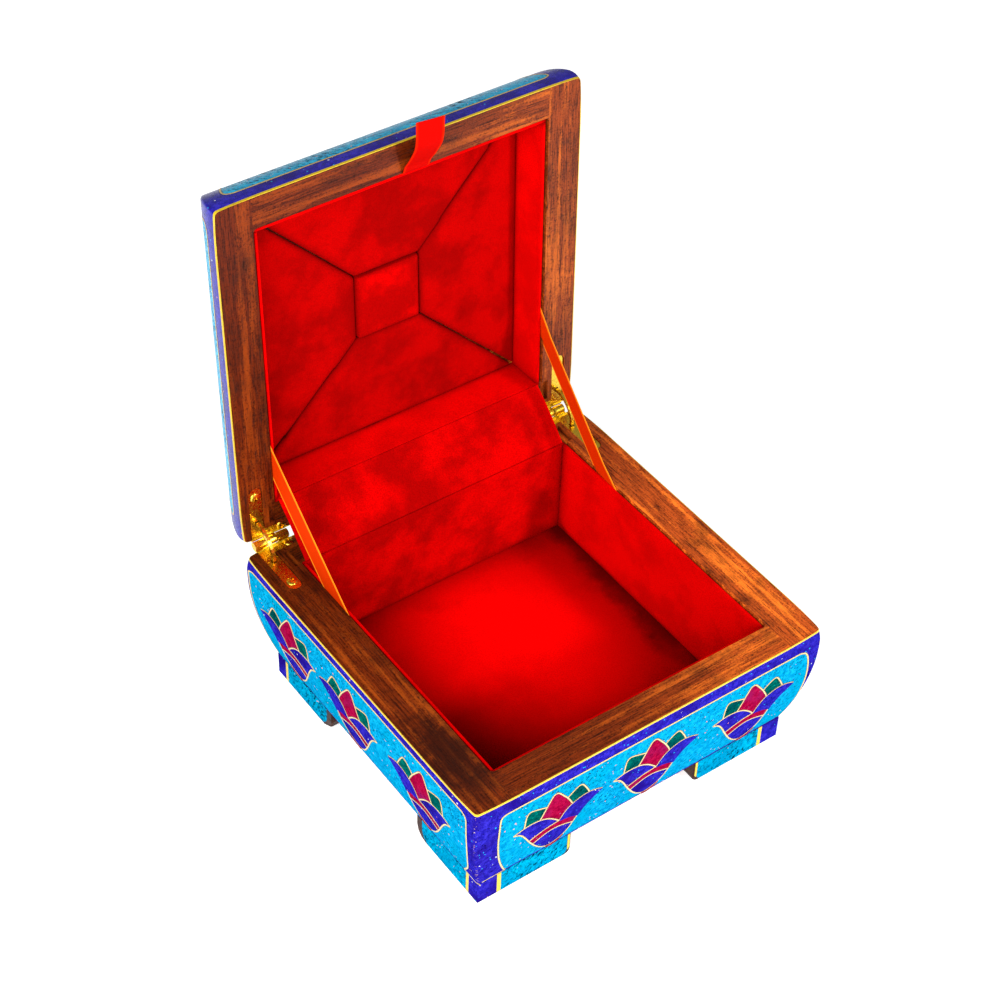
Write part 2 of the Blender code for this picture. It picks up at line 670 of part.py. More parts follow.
def hinge(shop, hand, sign, shells):
    """One quadrant hinge. The case's side faces up (+1) and the lid's faces down (-1)."""
    inner_x = HINGE_OUTER_X - BARREL_LENGTH
    third = BARREL_LENGTH / 3
    knuckles = {
        "case": [(inner_x, inner_x + third - KNUCKLE_PLAY),
                 (inner_x + 2 * third + KNUCKLE_PLAY, HINGE_OUTER_X)],
        "lid": [(inner_x + third + KNUCKLE_PLAY, inner_x + 2 * third - KNUCKLE_PLAY)],
    }
    link_middle = sign * (HINGE_OUTER_X - LEG_WIDTH / 2)
    link_half = LINK_WIDTH / 2 + GAP
    slot_near = -(LINK_RADIUS * math.cos(math.asin(LEAF_UNDER / LINK_RADIUS)) - LINK_RADIAL / 2 - GAP)
    slot_far = -(LINK_RADIUS + LINK_RADIAL / 2 + GAP)
    slot = [
        (link_middle - link_half, slot_far), (link_middle + link_half, slot_far),
        (link_middle + link_half, slot_near), (link_middle - link_half, slot_near),
    ]
    frames = {"case": shop.hinge, "lid": shop.lid}
    shares = {"case": LINK_SHARE, "lid": 1 - LINK_SHARE}
    number = 0
    for half, facing in (("case", 1), ("lid", -1)):
        frame = frames[half]
        shell = shells[half]
        label = f"hinge_{hand}_{half}"
        places = screw_places(sign)
        holes = [slot] + [circle(place, SCREW_SHANK + GAP, SCREW_SIDES) for place in places]
        faces = sorted((-facing * LEAF_UNDER, -facing * LEAF_TOP))
        mesh = plate(f"{label}_leaf", leaf_outline(sign), faces[0], faces[1], holes=holes)
        leaf = shop.piece(f"{label}_leaf", mesh, "brass", frame)
        other = "lid" if half == "case" else "case"
        for index, span in enumerate(knuckles[half]):
            low, high = sorted(sign * x for x in span)
            tool = rod(f"{label}_knuckle_{index}", BARREL_RADIUS, low, high, BARREL_SIDES)
            shop.join(leaf, tool.name, tool, frame)
        for index, span in enumerate(knuckles[other]):
            low, high = sorted(sign * x for x in span)
            low -= 2 * KNUCKLE_PLAY
            high += 2 * KNUCKLE_PLAY
            tool = rod(f"{label}_relief_{index}", BARREL_RADIUS + GAP, low, high, BARREL_SIDES)
            shop.cut(leaf, tool.name, tool, frame)
        ends = sorted((sign * (inner_x - GAP), sign * (HINGE_OUTER_X + GAP)))
        tool = rod(f"{label}_bore", PIN_RADIUS + PIN_CLEARANCE, ends[0], ends[1], BARREL_SIDES)
        shop.cut(leaf, tool.name, tool, frame)
        shade_round(leaf)

        depth = -facing * (LEAF_UNDER + GAP)
        open_side = facing * EASE_DROP
        faces = sorted((depth, open_side))
        tool = plate(f"{label}_recess", leaf_outline(sign, GAP), faces[0], faces[1])
        shop.cut(shell, tool.name, tool, frame)
        deepest = LINK_BEYOND + OPEN_ANGLE * shares[half] + LINK_PLAY
        tool = link_band(f"{label}_mortise", sign, 0, -facing * deepest, GAP)
        shop.cut(shell, tool.name, tool, frame)
        for place in places:
            number += 1
            name = f"hinge_{hand}_screw_{number}"
            screw(shop, name, place, facing, frame)
            faces = sorted((-facing * LEAF_TOP, -facing * (SCREW_LENGTH + LEAF_TOP + GAP)))
            outline = circle(place, SCREW_SHANK + GAP, SCREW_SIDES)
            tool = plate(f"{name}_hole", outline, faces[0], faces[1])
            shop.cut(shell, tool.name, tool, frame)

    ends = sorted((sign * inner_x, sign * HINGE_OUTER_X))
    pin = rod(f"hinge_{hand}_pin", PIN_RADIUS, ends[0], ends[1], BARREL_SIDES)
    shade_round(shop.piece(f"hinge_{hand}_pin", pin, "brass", shop.hinge))
    name = f"hinge_{hand}_quadrant"
    link = link_band(name, sign, -LINK_BEYOND, OPEN_ANGLE + LINK_BEYOND, 0)
    shade_round(shop.piece(name, link, "brass", shop.hinge))


def main():
    clear_scene()
    shop = Workshop()
    shells = {"case": case_shell(shop), "lid": lid_shell(shop)}
    feet(shop)
    case_linings(shop)
    lid_linings(shop)
    hinge_flap(shop)
    stay_ribbons(shop)
    pull_tab(shop)
    for hand, sign in (("left", -1), ("right", 1)):
        hinge(shop, hand, sign, shells)


main()
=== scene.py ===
# %% [markdown]
# # An inlaid jewellery box
# The real box is a small wooden case with a domed lid. Its outside is a mosaic: chips of blue and
# turquoise stone are set in resin between thin brass wires, and then ground flush and polished.
# Inside, everything is covered with red velvet. The measured part already exists as a CAD model,
# so the first step is to load it as a fixed frame that this scene dresses.

# %% Load the measured part
import json
import math
import bpy
from mathutils import Matrix, Vector, noise
from mathutils.geometry import convex_hull_2d, intersect_point_line


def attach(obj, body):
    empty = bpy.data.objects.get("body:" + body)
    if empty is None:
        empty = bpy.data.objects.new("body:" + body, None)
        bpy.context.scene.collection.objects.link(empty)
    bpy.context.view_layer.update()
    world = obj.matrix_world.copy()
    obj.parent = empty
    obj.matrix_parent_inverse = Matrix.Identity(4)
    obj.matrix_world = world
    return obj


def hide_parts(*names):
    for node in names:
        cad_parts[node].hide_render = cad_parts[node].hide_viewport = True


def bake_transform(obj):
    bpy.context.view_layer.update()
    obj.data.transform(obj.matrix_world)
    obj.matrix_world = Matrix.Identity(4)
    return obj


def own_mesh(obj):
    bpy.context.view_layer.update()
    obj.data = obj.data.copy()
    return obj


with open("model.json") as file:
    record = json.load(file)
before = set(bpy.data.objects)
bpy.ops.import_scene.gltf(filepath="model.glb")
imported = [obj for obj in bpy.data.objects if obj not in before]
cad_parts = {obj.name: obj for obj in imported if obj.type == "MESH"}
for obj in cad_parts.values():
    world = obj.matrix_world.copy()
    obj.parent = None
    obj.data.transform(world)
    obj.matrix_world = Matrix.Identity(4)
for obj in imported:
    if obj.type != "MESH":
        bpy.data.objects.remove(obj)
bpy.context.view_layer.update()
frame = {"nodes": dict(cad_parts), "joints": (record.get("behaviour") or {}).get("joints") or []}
nodes = frame["nodes"]
MM = 0.001

# %% [markdown]
# ## Measurements
# Every new piece must sit on the measured one, so its places are read from the frame and not typed
# in again. The lid stands open, which makes it awkward to model on. A matrix leads from the closed
# lid, lying flat in front of its hinge, to where the open lid stands: lid pieces are modelled
# closed and then swung open with it.

# %% Read places from the frame
hinge_joint = next(joint for joint in frame["joints"] if joint["name"] == "lid_hinge")
HINGE = Vector(hinge_joint["pos_m"])
OPENING = math.radians(hinge_joint["range_deg"][1])
SWING_OPEN = Matrix.Translation(HINGE) @ Matrix.Rotation(-OPENING, 4, "X")
SWING_SHUT = SWING_OPEN.inverted()


def extent(node, matrix=None):
    """Lowest and highest corner of a node, measured after a turn or as it stands."""
    matrix = matrix or Matrix.Identity(4)
    points = [matrix @ vertex.co for vertex in nodes[node].data.vertices]
    lows = Vector(min(point[axis] for point in points) for axis in range(3))
    highs = Vector(max(point[axis] for point in points) for axis in range(3))
    return lows, highs


case_low, case_high = extent("case_shell")
lid_low, lid_high = extent("lid_shell", SWING_SHUT)
foot_low, foot_high = extent("foot_front_left")
floor_high = extent("case_floor_lining")[1]
CASE_CENTRE = (case_low + case_high) / 2
RIM = case_high.z
LID_CENTRE = (lid_low + lid_high) / 2
AT_CASE = Matrix.Translation((0, CASE_CENTRE.y, RIM))
AT_LID = SWING_OPEN @ Matrix.Translation((0, LID_CENTRE.y, lid_low.z))
print("Case", (case_high - case_low) / MM, "mm, lid", (lid_high - lid_low) / MM, "mm")

# %% [markdown]
# ## Camera
# The photograph looks down on the box from its front left corner. The camera stands on a line
# through the middle of the case's rim, and then a little to one side, so that the box sits in the
# picture as it does in the photograph. The roll is the small tilt of a camera held by hand.

# %% Set the camera
AZIMUTH = math.radians(-37.003)
ELEVATION = math.radians(43.096)
ROLL = math.radians(2.150)
TO_THE_RIGHT, UPWARDS, AWAY = -13.21 * MM, 39.85 * MM, 942.25 * MM
backwards = Vector((
    math.sin(AZIMUTH) * math.cos(ELEVATION),
    -math.cos(AZIMUTH) * math.cos(ELEVATION),
    math.sin(ELEVATION),
))
level_right = Vector((0, 0, 1)).cross(backwards).normalized()
level_up = backwards.cross(level_right)
right = level_right * math.cos(ROLL) + level_up * math.sin(ROLL)
up = level_up * math.cos(ROLL) - level_right * math.sin(ROLL)
camera_data = bpy.data.cameras.new("camera")
camera_data.lens = 79.07
camera_data.clip_start = 0.05
camera = bpy.data.objects.new("camera", camera_data)
bpy.context.collection.objects.link(camera)
eye = Vector((0, CASE_CENTRE.y, RIM)) + TO_THE_RIGHT * right + UPWARDS * up + AWAY * backwards
camera.matrix_world = Matrix.Translation(eye) @ Matrix((right, up, backwards)).transposed().to_4x4()
bpy.context.scene.camera = camera
bpy.context.scene.view_settings.view_transform = "Standard"
print("Camera at", [round(value, 3) for value in eye])

# %% [markdown]
# ## Floor and light
# The box was photographed on white, between wide soft lamps on the left and one small lamp high on
# the right of the camera. The edge of the pull tab's shadow on the lid gives the small lamp's
# direction and size. The floor glows a little, as a lit paper background does.

# %% Lay the floor
bpy.ops.object.select_all(action="DESELECT")
bpy.ops.mesh.primitive_plane_add(size=8, location=(0, 0, 0))
floor = bpy.context.object
floor.name = "floor"
floor_finish = bpy.data.materials.new("pale_floor")
floor_finish.use_nodes = True
floor_shader = floor_finish.node_tree.nodes["Principled BSDF"]
floor_shader.inputs["Base Color"].default_value = (0.88, 0.88, 0.88, 1)
floor_shader.inputs["Roughness"].default_value = 1
floor_shader.inputs["Specular IOR Level"].default_value = 0
floor_shader.inputs["Emission Color"].default_value = (1, 1, 1, 1)
floor_shader.inputs["Emission Strength"].default_value = 0.5
floor.data.materials.append(floor_finish)
print("Floor:", [round(side, 1) for side in floor.dimensions], "m")

# %% Light the scene
AIM = Vector((0, 0, 0.09))


def soft_lamp(name, direction, distance, size, watts):
    """A square lamp that looks at the box from a direction."""
    lamp_data = bpy.data.lights.new(name, "AREA")
    lamp_data.size = size
    lamp_data.energy = watts
    lamp = bpy.data.objects.new(name, lamp_data)
    bpy.context.collection.objects.link(lamp)
    lamp.location = AIM + Vector(direction).normalized() * distance
    lamp.rotation_euler = (lamp.location - AIM).to_track_quat("Z", "Y").to_euler()
    return lamp


soft_lamp("left_panel", (-0.71, -0.41, 0.57), 1.3, 0.8, 18)
soft_lamp("front_panel", (-0.57, -0.75, 0.34), 1.3, 0.8, 6)
soft_lamp("right_lamp", (0.30, -0.81, 0.50), 1.3, 0.12, 11)
surround = bpy.data.worlds.new("white_surround")
surround.use_nodes = True
surround.node_tree.nodes["Background"].inputs["Color"].default_value = (1, 1, 1, 1)
surround.node_tree.nodes["Background"].inputs["Strength"].default_value = 0.3
bpy.context.scene.world = surround

# %% [markdown]
# ## Finishes
# Stone, wood and cloth all vary over their surface, so their materials are patterns worked out
# from each point's place in the box. Building such patterns node by node is long. A small class
# wraps one output of a node and lets it be added and multiplied like a number, and one method adds
# every other kind of node.

# %% A class for sums on sockets
class Signal:
    """One output of a material's node. Sums on it add Math nodes."""

    def __init__(self, finish, socket):
        self.finish = finish
        self.socket = socket

    def math(self, operation, *values):
        numbered = dict(enumerate(values))
        return self.finish.add("ShaderNodeMath", {"operation": operation}, numbered)

    def __add__(self, other):
        return self.math("ADD", self, other)

    def __radd__(self, other):
        return self.math("ADD", other, self)

    def __sub__(self, other):
        return self.math("SUBTRACT", self, other)

    def __rsub__(self, other):
        return self.math("SUBTRACT", other, self)

    def __mul__(self, other):
        return self.math("MULTIPLY", self, other)

    def __rmul__(self, other):
        return self.math("MULTIPLY", other, self)

    def __gt__(self, other):
        return self.math("GREATER_THAN", self, other)

    def __abs__(self):
        return self.math("ABSOLUTE", self)


class Finish:
    """A material under construction: its Principled shader and the patterns that feed it."""

    def __init__(self, name, roughness=0.5, metallic=0.0, **constants):
        self.material = bpy.data.materials.new(name)
        self.material.use_nodes = True
        self.tree = self.material.node_tree
        self.shader = self.tree.nodes["Principled BSDF"]
        self.shader.inputs["Roughness"].default_value = roughness
        self.shader.inputs["Metallic"].default_value = metallic
        for socket, value in constants.items():
            self.shader.inputs[socket.replace("_", " ")].default_value = value
        self.place = self.add("ShaderNodeTexCoord", output="Object")

    def add(self, kind, settings=None, inputs=None, output=0):
        """Add a node: its settings first, then the values or links of its sockets."""
        node = self.tree.nodes.new(kind)
        for key, value in (settings or {}).items():
            setattr(node, key, value)
        for key, value in (inputs or {}).items():
            self.feed(node.inputs[key], value)
        return Signal(self, node.outputs[output])

    def feed(self, socket, value):
        if isinstance(value, Signal):
            self.tree.links.new(value.socket, socket)
        elif socket.type == "RGBA" and len(value) == 3:
            socket.default_value = (*value, 1)
        else:
            socket.default_value = value

    def noise(self, scale, detail=2.0, place=None, roughness=0.5, output="Fac"):
        """Cloudy pattern; scale is in waves a metre."""
        return self.add("ShaderNodeTexNoise", {}, {
            "Vector": place or self.place, "Scale": scale, "Detail": detail, "Roughness": roughness,
        }, output)

    def cells(self, scale, place, output="Distance"):
        """Pattern of chips; scale is in chips a metre."""
        return self.add("ShaderNodeTexVoronoi", {}, {"Vector": place, "Scale": scale}, output)

    def step(self, value, low, high, start=0.0, end=1.0):
        """Rises smoothly from start to end while a value goes from low to high."""
        return self.add("ShaderNodeMapRange", {"interpolation_type": "SMOOTHSTEP"}, {
            "Value": value, "From Min": low, "From Max": high, "To Min": start, "To Max": end,
        })

    def mix(self, share, first, second, blend="MIX"):
        """Colour between two colours."""
        settings = {"data_type": "RGBA", "blend_type": blend}
        return self.add("ShaderNodeMix", settings, {0: share, 6: first, 7: second}, output=2)

    def dimmed(self, colour, factor):
        """A colour made darker by a factor, or tinted by another colour."""
        return self.mix(1.0, colour, factor, blend="MULTIPLY")

    def vectors(self, operation, first, second, output="Vector"):
        """A sum on two vectors."""
        return self.add("ShaderNodeVectorMath", {"operation": operation}, {0: first, 1: second}, output)

    def distance(self, place, point):
        return self.vectors("DISTANCE", place, point, "Value")

    def stretched(self, place, stretch):
        """A place multiplied along each axis."""
        return self.vectors("MULTIPLY", place, stretch)

    def moved(self, matrix, stretch=(1, 1, 1), place=None):
        """The place, led through a matrix, and then stretched along each axis."""
        turned = self.add("ShaderNodeMapping", {}, {
            "Vector": place or self.place,
            "Location": matrix.to_translation(),
            "Rotation": matrix.to_euler(),
        })
        return self.stretched(turned, stretch)

    def axis(self, letter, place=None):
        return self.add("ShaderNodeSeparateXYZ", {}, {0: place or self.place}, output=letter)

    def bump(self, height, distance, strength=1.0):
        bumped = self.add("ShaderNodeBump", {}, {
            "Strength": strength, "Distance": distance, "Height": height,
        }, output="Normal")
        self.feed(self.shader.inputs["Normal"], bumped)

    def colour(self, value):
        self.feed(self.shader.inputs["Base Color"], value)

    def gloss(self, value):
        self.feed(self.shader.inputs["Roughness"], value)


print("Material tools ready")

# %% [markdown]
# ### Stone chips in resin
# Each coloured field is made of crushed stone pressed into resin and ground flat. From close by it
# shows chips in slightly different tones, dark strokes of resin that all lean one way, black grit,
# and now and then a stray chip of another stone. Noise that is stretched along one direction gives
# the strokes, and a slow noise makes them thick in one place and thin in another. Along the upright
# corners of the case the lapis is worn, and light filler shows.

# %% Crushed stone
STREAK_WAY = Vector((0.6, -0.5, 0.62)).to_track_quat("Z", "Y").to_matrix().to_4x4().inverted()


def crushed_stone(name, tones, resin, strays, streaks, grit, worn=False, shine=0.0, stroke=1250):
    """A field of stone chips: three tones, resin colour, and (colour, share) of stray chips."""
    finish = Finish(name, roughness=0.3, **{"Specular_IOR_Level": shine})
    cloud = finish.noise(430, 4, roughness=0.6)
    fine = finish.noise(2300, 3, roughness=0.65)
    drift = finish.noise(65, 3)
    tone = finish.mix(finish.step(cloud * 0.6 + fine * 0.4, 0.42, 0.60), tones[0], tones[1])
    tone = finish.mix(finish.step(drift, 0.45, 0.70), tone, tones[2])
    patch = finish.step(finish.noise(42, 4, roughness=0.6), 0.36, 0.62, 0.35, 1.0)
    dashes = finish.noise(stroke, 5, finish.moved(STREAK_WAY, (1, 1, 0.28)), roughness=0.62)
    lines = finish.step(dashes, 0.66 - streaks * 0.16, 0.70 - streaks * 0.12)
    bits = finish.step(finish.noise(1900, 2, roughness=0.55), 0.76 - grit * 0.12, 0.79 - grit * 0.12)
    dark = finish.add("ShaderNodeClamp", {}, {"Value": lines * patch + bits * (patch * 0.6 + 0.4)})
    tone = finish.mix(dark * 0.94, tone, resin)
    ripple = finish.stretched(finish.noise(1400, 2, output="Color"), (0.0011, 0.0011, 0.0011))
    rough_place = finish.vectors("ADD", finish.place, ripple)
    for number, (stray, share) in enumerate(strays):
        shift = Matrix.Translation((0.013 * (number + 1), 0.007 * number, 0.003))
        spot_place = finish.moved(shift, place=rough_place)
        lot = finish.axis("Y", finish.cells(900, spot_place, "Color"))
        chosen = (lot > 1 - share) * (1 - finish.step(finish.cells(900, spot_place), 0.26, 0.34))
        tone = finish.mix(chosen, tone, stray)
    if worn:
        corner = abs(abs(finish.axis("X")) - abs(finish.axis("Y") - CASE_CENTRE.y) - CORNER_OFFSET)
        chips = finish.step(finish.noise(850, 4, roughness=0.6), 0.60, 0.63)
        tone = finish.mix(finish.step(corner, 1.0 * MM, 6.0 * MM, 1.0, 0.0) * lines, tone, resin)
        wear = finish.step(corner, 0.2 * MM, 1.6 * MM, 1.0, 0.0) * chips
        filler = finish.mix(finish.step(fine, 0.4, 0.6), (0.42, 0.13, 0.06), (0.50, 0.40, 0.36))
        tone = finish.mix(wear, tone, filler)
    finish.colour(tone)
    finish.gloss(0.26 + dark * 0.35)
    finish.bump(fine * 0.2 - dark * 0.7, 0.00004, 0.7)
    return finish.material


CORNER_OFFSET = (case_high.x - case_low.x) / 2 - (case_high.y - case_low.y) / 2
WHITE_CHIP = (0.80, 0.82, 0.85)
PINK_CHIP = (0.80, 0.26, 0.15)
BLACK_CHIP = (0.010, 0.008, 0.010)
CYAN_CHIP = (0.01, 0.36, 0.62)
TURQUOISE = crushed_stone(
    "turquoise", ((0.0, 0.20, 0.42), (0.004, 0.36, 0.62), (0.0, 0.27, 0.46)), (0.0, 0.03, 0.055),
    ((PINK_CHIP, 0.030), (BLACK_CHIP, 0.045), ((0.02, 0.02, 0.30), 0.012)), streaks=0.7, grit=0.6,
)
FOOT_TURQUOISE = crushed_stone(
    "foot_turquoise", ((0.0, 0.19, 0.38), (0.0, 0.36, 0.56), (0.0, 0.22, 0.40)), (0.0, 0.004, 0.007),
    ((PINK_CHIP, 0.03), (BLACK_CHIP, 0.08)), streaks=0.9, grit=1.0, stroke=750,
)
LID_TURQUOISE = crushed_stone(
    "lid_turquoise", ((0.0, 0.32, 0.62), (0.0, 0.60, 0.90), (0.0, 0.42, 0.70)), (0.002, 0.008, 0.012),
    ((PINK_CHIP, 0.03), (WHITE_CHIP, 0.02), (BLACK_CHIP, 0.05)),
    streaks=0.95, grit=0.8, shine=0.12, stroke=850,
)


def lapis(name, **changes):
    """The same stone everywhere; only its wear and its shine change."""
    tones = (0.010, 0.007, 0.25), (0.030, 0.022, 0.42), (0.012, 0.004, 0.17)
    strays = (WHITE_CHIP, 0.006), (CYAN_CHIP, 0.022), (BLACK_CHIP, 0.04), (PINK_CHIP, 0.006)
    return crushed_stone(name, tones, (0.002, 0.001, 0.02), strays, streaks=0.45, grit=1.05, **changes)


LAPIS = lapis("lapis")
LID_LAPIS = lapis("lid_lapis", shine=0.22)
CASE_LAPIS = lapis("worn_lapis", worn=True)
CRIMSON = crushed_stone(
    "crimson_stone", ((0.20, 0.0, 0.022), (0.34, 0.004, 0.045), (0.22, 0.006, 0.07)), (0.05, 0.0, 0.01),
    ((WHITE_CHIP, 0.006), ((0.05, 0.12, 0.30), 0.02)), streaks=0.5, grit=0.4,
)
MALACHITE = crushed_stone(
    "malachite", ((0.0, 0.065, 0.06), (0.0, 0.13, 0.105), (0.0, 0.045, 0.05)), (0.0, 0.012, 0.014),
    (((0.0, 0.22, 0.18), 0.03), (BLACK_CHIP, 0.05)), streaks=0.8, grit=0.8,
)
resin_bed = Finish("resin", roughness=0.4, **{"Specular_IOR_Level": 0.1})
resin_bed.colour(resin_bed.mix(resin_bed.noise(900, 3), (0.010, 0.006, 0.012), (0.035, 0.015, 0.020)))
RESIN = resin_bed.material
GROUND = {"case": CASE_LAPIS, "lid": LID_LAPIS}
PANEL = {"case": TURQUOISE, "lid": LID_TURQUOISE}
print("Stones:", [stone.name for stone in (*PANEL.values(), *GROUND.values(), LAPIS, CRIMSON, MALACHITE)])

# %% [markdown]
# ### Brass
# There is brass in three states: the thin wires of the mosaic, dulled by grinding; the wider line
# round both rims, which stays bright yellow; and the polished hinges. Metal takes its look from
# what it reflects, so a little unevenness in its gloss does more than any colour pattern.

# %% Brass wires, rim line and hinges
def brass(name, colour, roughness, scratches, metallic=1.0):
    finish = Finish(name, roughness=roughness, metallic=metallic)
    wear = finish.noise(900, 4, roughness=0.7)
    finish.colour(finish.mix(finish.step(wear, 0.45, 0.75), colour, tuple(c * 0.62 for c in colour)))
    finish.gloss(finish.step(wear, 0.3, 0.8, roughness * 0.7, roughness * 1.6))
    finish.bump(finish.noise(3500, 2, place=finish.moved(Matrix.Identity(4), (1, 0.15, 1))), scratches)
    return finish.material


WIRE = brass("inlay_wire", (0.72, 0.52, 0.22), 0.4, 0.00001, metallic=0.3)
RIM_BRASS = brass("rim_brass", (0.72, 0.50, 0.015), 0.35, 0.00001, metallic=0.3)
HINGE_BRASS = brass("hinge_brass", (0.95, 0.62, 0.06), 0.26, 0.00002)
print("Brass:", [metal.name for metal in (WIRE, RIM_BRASS, HINGE_BRASS)])

# %% [markdown]
# ### Wood
# The rims are bare wood, stained dark and rubbed back, so the grain shows orange where it stands
# proud and nearly black in the pores. It is darker towards the hinges, and in one patch near the
# front left corner. Its left boards are painted darker than its right ones, as painted side light.
# The boards at the sides run from front to back and the other two run across, so the grain turns
# with them.

# %% Stained wood for the two shells
BOARD = floor_high.x + 1.0 * MM
DARK_PATCH = (-0.098, -0.043, 0)


def stained_wood(name, home, seed, lit, patch=0.0):
    """Wood in a shell's own frame, where home leads; lit scales the colour of its left and its right
    boards: painted side light, or on the feet an even darkening.
    """
    finish = Finish(name, roughness=0.45, **{"Specular_IOR_Level": 0.12})
    place = finish.moved(home)
    side_board = abs(finish.axis("X", place)) > BOARD
    across = finish.moved(home, (0.045, 1, 1))
    endways = finish.moved(home, (1, 0.045, 1))
    along = finish.mix(side_board, across, endways)
    offset = finish.vectors("ADD", along, (seed, seed, seed))
    fibre = finish.noise(1500, 4, offset, roughness=0.65)
    figure = finish.noise(260, 4, offset, roughness=0.6)
    pores = finish.step(finish.noise(2400, 2, offset, roughness=0.7), 0.58, 0.66)
    stain = finish.noise(34, 4, place, roughness=0.6)
    blotch = finish.noise(120, 5, place, roughness=0.7)
    grit = finish.noise(1000, 3, place, roughness=0.7)
    grain = finish.step(fibre * 0.6 + grit * 0.4, 0.36, 0.60)
    tone = finish.mix(grain, (0.050, 0.007, 0.001), (0.30, 0.048, 0.006))
    rubbed = finish.step(figure * 0.6 + blotch * 0.2 + grit * 0.2, 0.49, 0.60)
    tone = finish.mix(rubbed * 0.7, tone, (0.66, 0.14, 0.012))
    # Painted side light: the colour is scaled from the left board's factor to the right board's, so one
    # side looks shaded and the other lit. On the feet both factors are the same and only darken the wood.
    share = finish.step(finish.axis("X", place), -0.09, 0.09)
    tone = finish.dimmed(tone, finish.mix(share * share * share, *lit))
    tone = finish.dimmed(tone, finish.step(finish.axis("Y", place), 0.0, 0.085, 1.0, 0.55))
    away = finish.distance(finish.moved(home, (1.2, 0.8, 0)), DARK_PATCH)
    dirt = finish.step(away + blotch * 0.05, 0.030, 0.052, patch, 0.0)
    tone = finish.mix(dirt, tone, (0.020, 0.004, 0.002))
    shade = finish.step(stain * 0.7 + blotch * 0.5, 0.58, 0.78)
    tone = finish.mix(shade * 0.6, tone, (0.016, 0.004, 0.002))
    tone = finish.mix(finish.step(grit, 0.56, 0.66) * 0.6, tone, (0.030, 0.006, 0.002))
    tone = finish.mix(pores * 0.75, tone, (0.012, 0.003, 0.001))
    finish.colour(tone)
    finish.gloss(0.36 + pores * 0.3 + fibre * 0.1)
    finish.bump(fibre * 0.5 - pores, 0.00006, 0.7)
    return finish.material


TO_CASE = Matrix.Translation((0, -CASE_CENTRE.y, -RIM))
# The case's and the lid's right boards are painted lighter than their left ones, as painted side light.
CASE_WOOD = stained_wood("case_wood", TO_CASE, 0.0, ((0.66, 0.55, 0.47), (2.2, 2.2, 2.2)), patch=0.85)
FOOT_WOOD = stained_wood("foot_wood", TO_CASE, 0.71, ((0.12, 0.12, 0.12), (0.12, 0.12, 0.12)))
LID_WOOD = stained_wood("lid_wood", TO_CASE @ SWING_SHUT, 0.37, ((0.42, 0.29, 0.20), (0.92, 0.88, 0.80)))
print("Wood grain turns at x =", round(BOARD / MM, 1), "mm")

# %% [markdown]
# ### Velvet and ribbon
# Velvet looks darker where its pile leans away and brighter at its edge, which the shader's sheen
# gives. Handling leaves brushed patches, so a slow noise leans the pile from place to place. Its
# colour is painted nearly black in the seams, as painted shade. On the floor a painted pool of light
# brightens the middle, and painted shadow darkens it along the feet of the walls and in the front
# left corner. The ribbon is a flat ribbed weave with firmer edges, and its pattern follows its own
# length.

# %% Velvet and ribbon
# Where the painted pool of light on the floor centres, and the corner where its painted shadow is darkest.
PAINTED_LIGHT_POOL = Vector((0.002, CASE_CENTRE.y + 0.014, floor_high.z))
PAINTED_CORNER_SHADOW = Vector((-0.078, CASE_CENTRE.y - 0.085, floor_high.z))
# For each wall's painted shadow on the floor: the axis, the floor's middle on it, which way,
# how far in the painted shadow reaches, and how dark.
PAINTED_WALL_SHADOWS = (
    ("X", 0, 1, 0.016, 0.34), ("X", 0, -1, 0.044, 0.45),
    ("Y", CASE_CENTRE.y, 1, 0.016, 0.75), ("Y", CASE_CENTRE.y, -1, 0.046, 0.42),
)


def velvet(name, bright, deep, patches=0.5, on_floor=False):
    """Pile that leans from place to place, with painted shade in the seams; the floor's also gets painted
    light and shadow.
    """
    finish = Finish(name, roughness=0.95, **{
        "Sheen_Weight": 0.3, "Sheen_Roughness": 0.45, "Sheen_Tint": (1.0, 0.0, 0.0, 1),
        "Specular_IOR_Level": 0.02,
    })
    brushed = finish.noise(48, 4, roughness=0.6)
    pile = finish.noise(1700, 3, roughness=0.75)
    lean = finish.step(brushed, 0.36, 0.64)
    tone = finish.mix(1 - patches + lean * patches, deep, bright)
    tone = finish.mix(finish.step(pile, 0.36, 0.58, 0.62), deep, tone)
    # Painted shade: the colour goes nearly black towards the seams, read from each point's seam value.
    seam = finish.add("ShaderNodeAttribute", {"attribute_name": "seam"}, output="Fac")
    shadow = seam * seam * seam * (brushed * 2.0 - 0.45)
    tone = finish.mix(shadow, tone, tuple(part * 0.2 for part in deep))
    if on_floor:
        tone = painted_floor_light(finish, tone, brushed)
    finish.colour(tone)
    finish.bump(pile + brushed * 0.6, 0.00012, 0.6)
    return finish.material


def painted_floor_light(finish, tone, brushed):
    """Painted light and shade on the floor: a painted pool of light in the middle, painted shadow in the
    front left corner and along the walls.
    """
    # A painted pool of light, brightest in the middle of the floor.
    oval = Vector((1.15, 0.9, 1))
    away = finish.distance(finish.stretched(finish.place, oval), PAINTED_LIGHT_POOL * oval)
    tone = finish.dimmed(tone, 1.0 - finish.step(away + brushed * 0.02, 0.028, 0.100) * 0.72)
    # Painted shadow in the front left corner.
    away = finish.distance(finish.place, PAINTED_CORNER_SHADOW)
    tone = finish.dimmed(tone, finish.step(away + brushed * 0.03, 0.040, 0.145, 0.06, 1.0))
    # Painted shadows along the feet of the walls.
    for letter, middle, way, reach, darkest in PAINTED_WALL_SHADOWS:
        gap = floor_high.x - (finish.axis(letter) - middle) * way
        tone = finish.dimmed(tone, finish.step(gap - brushed * 0.034, -0.017, reach - 0.017, darkest, 1.0))
    return tone


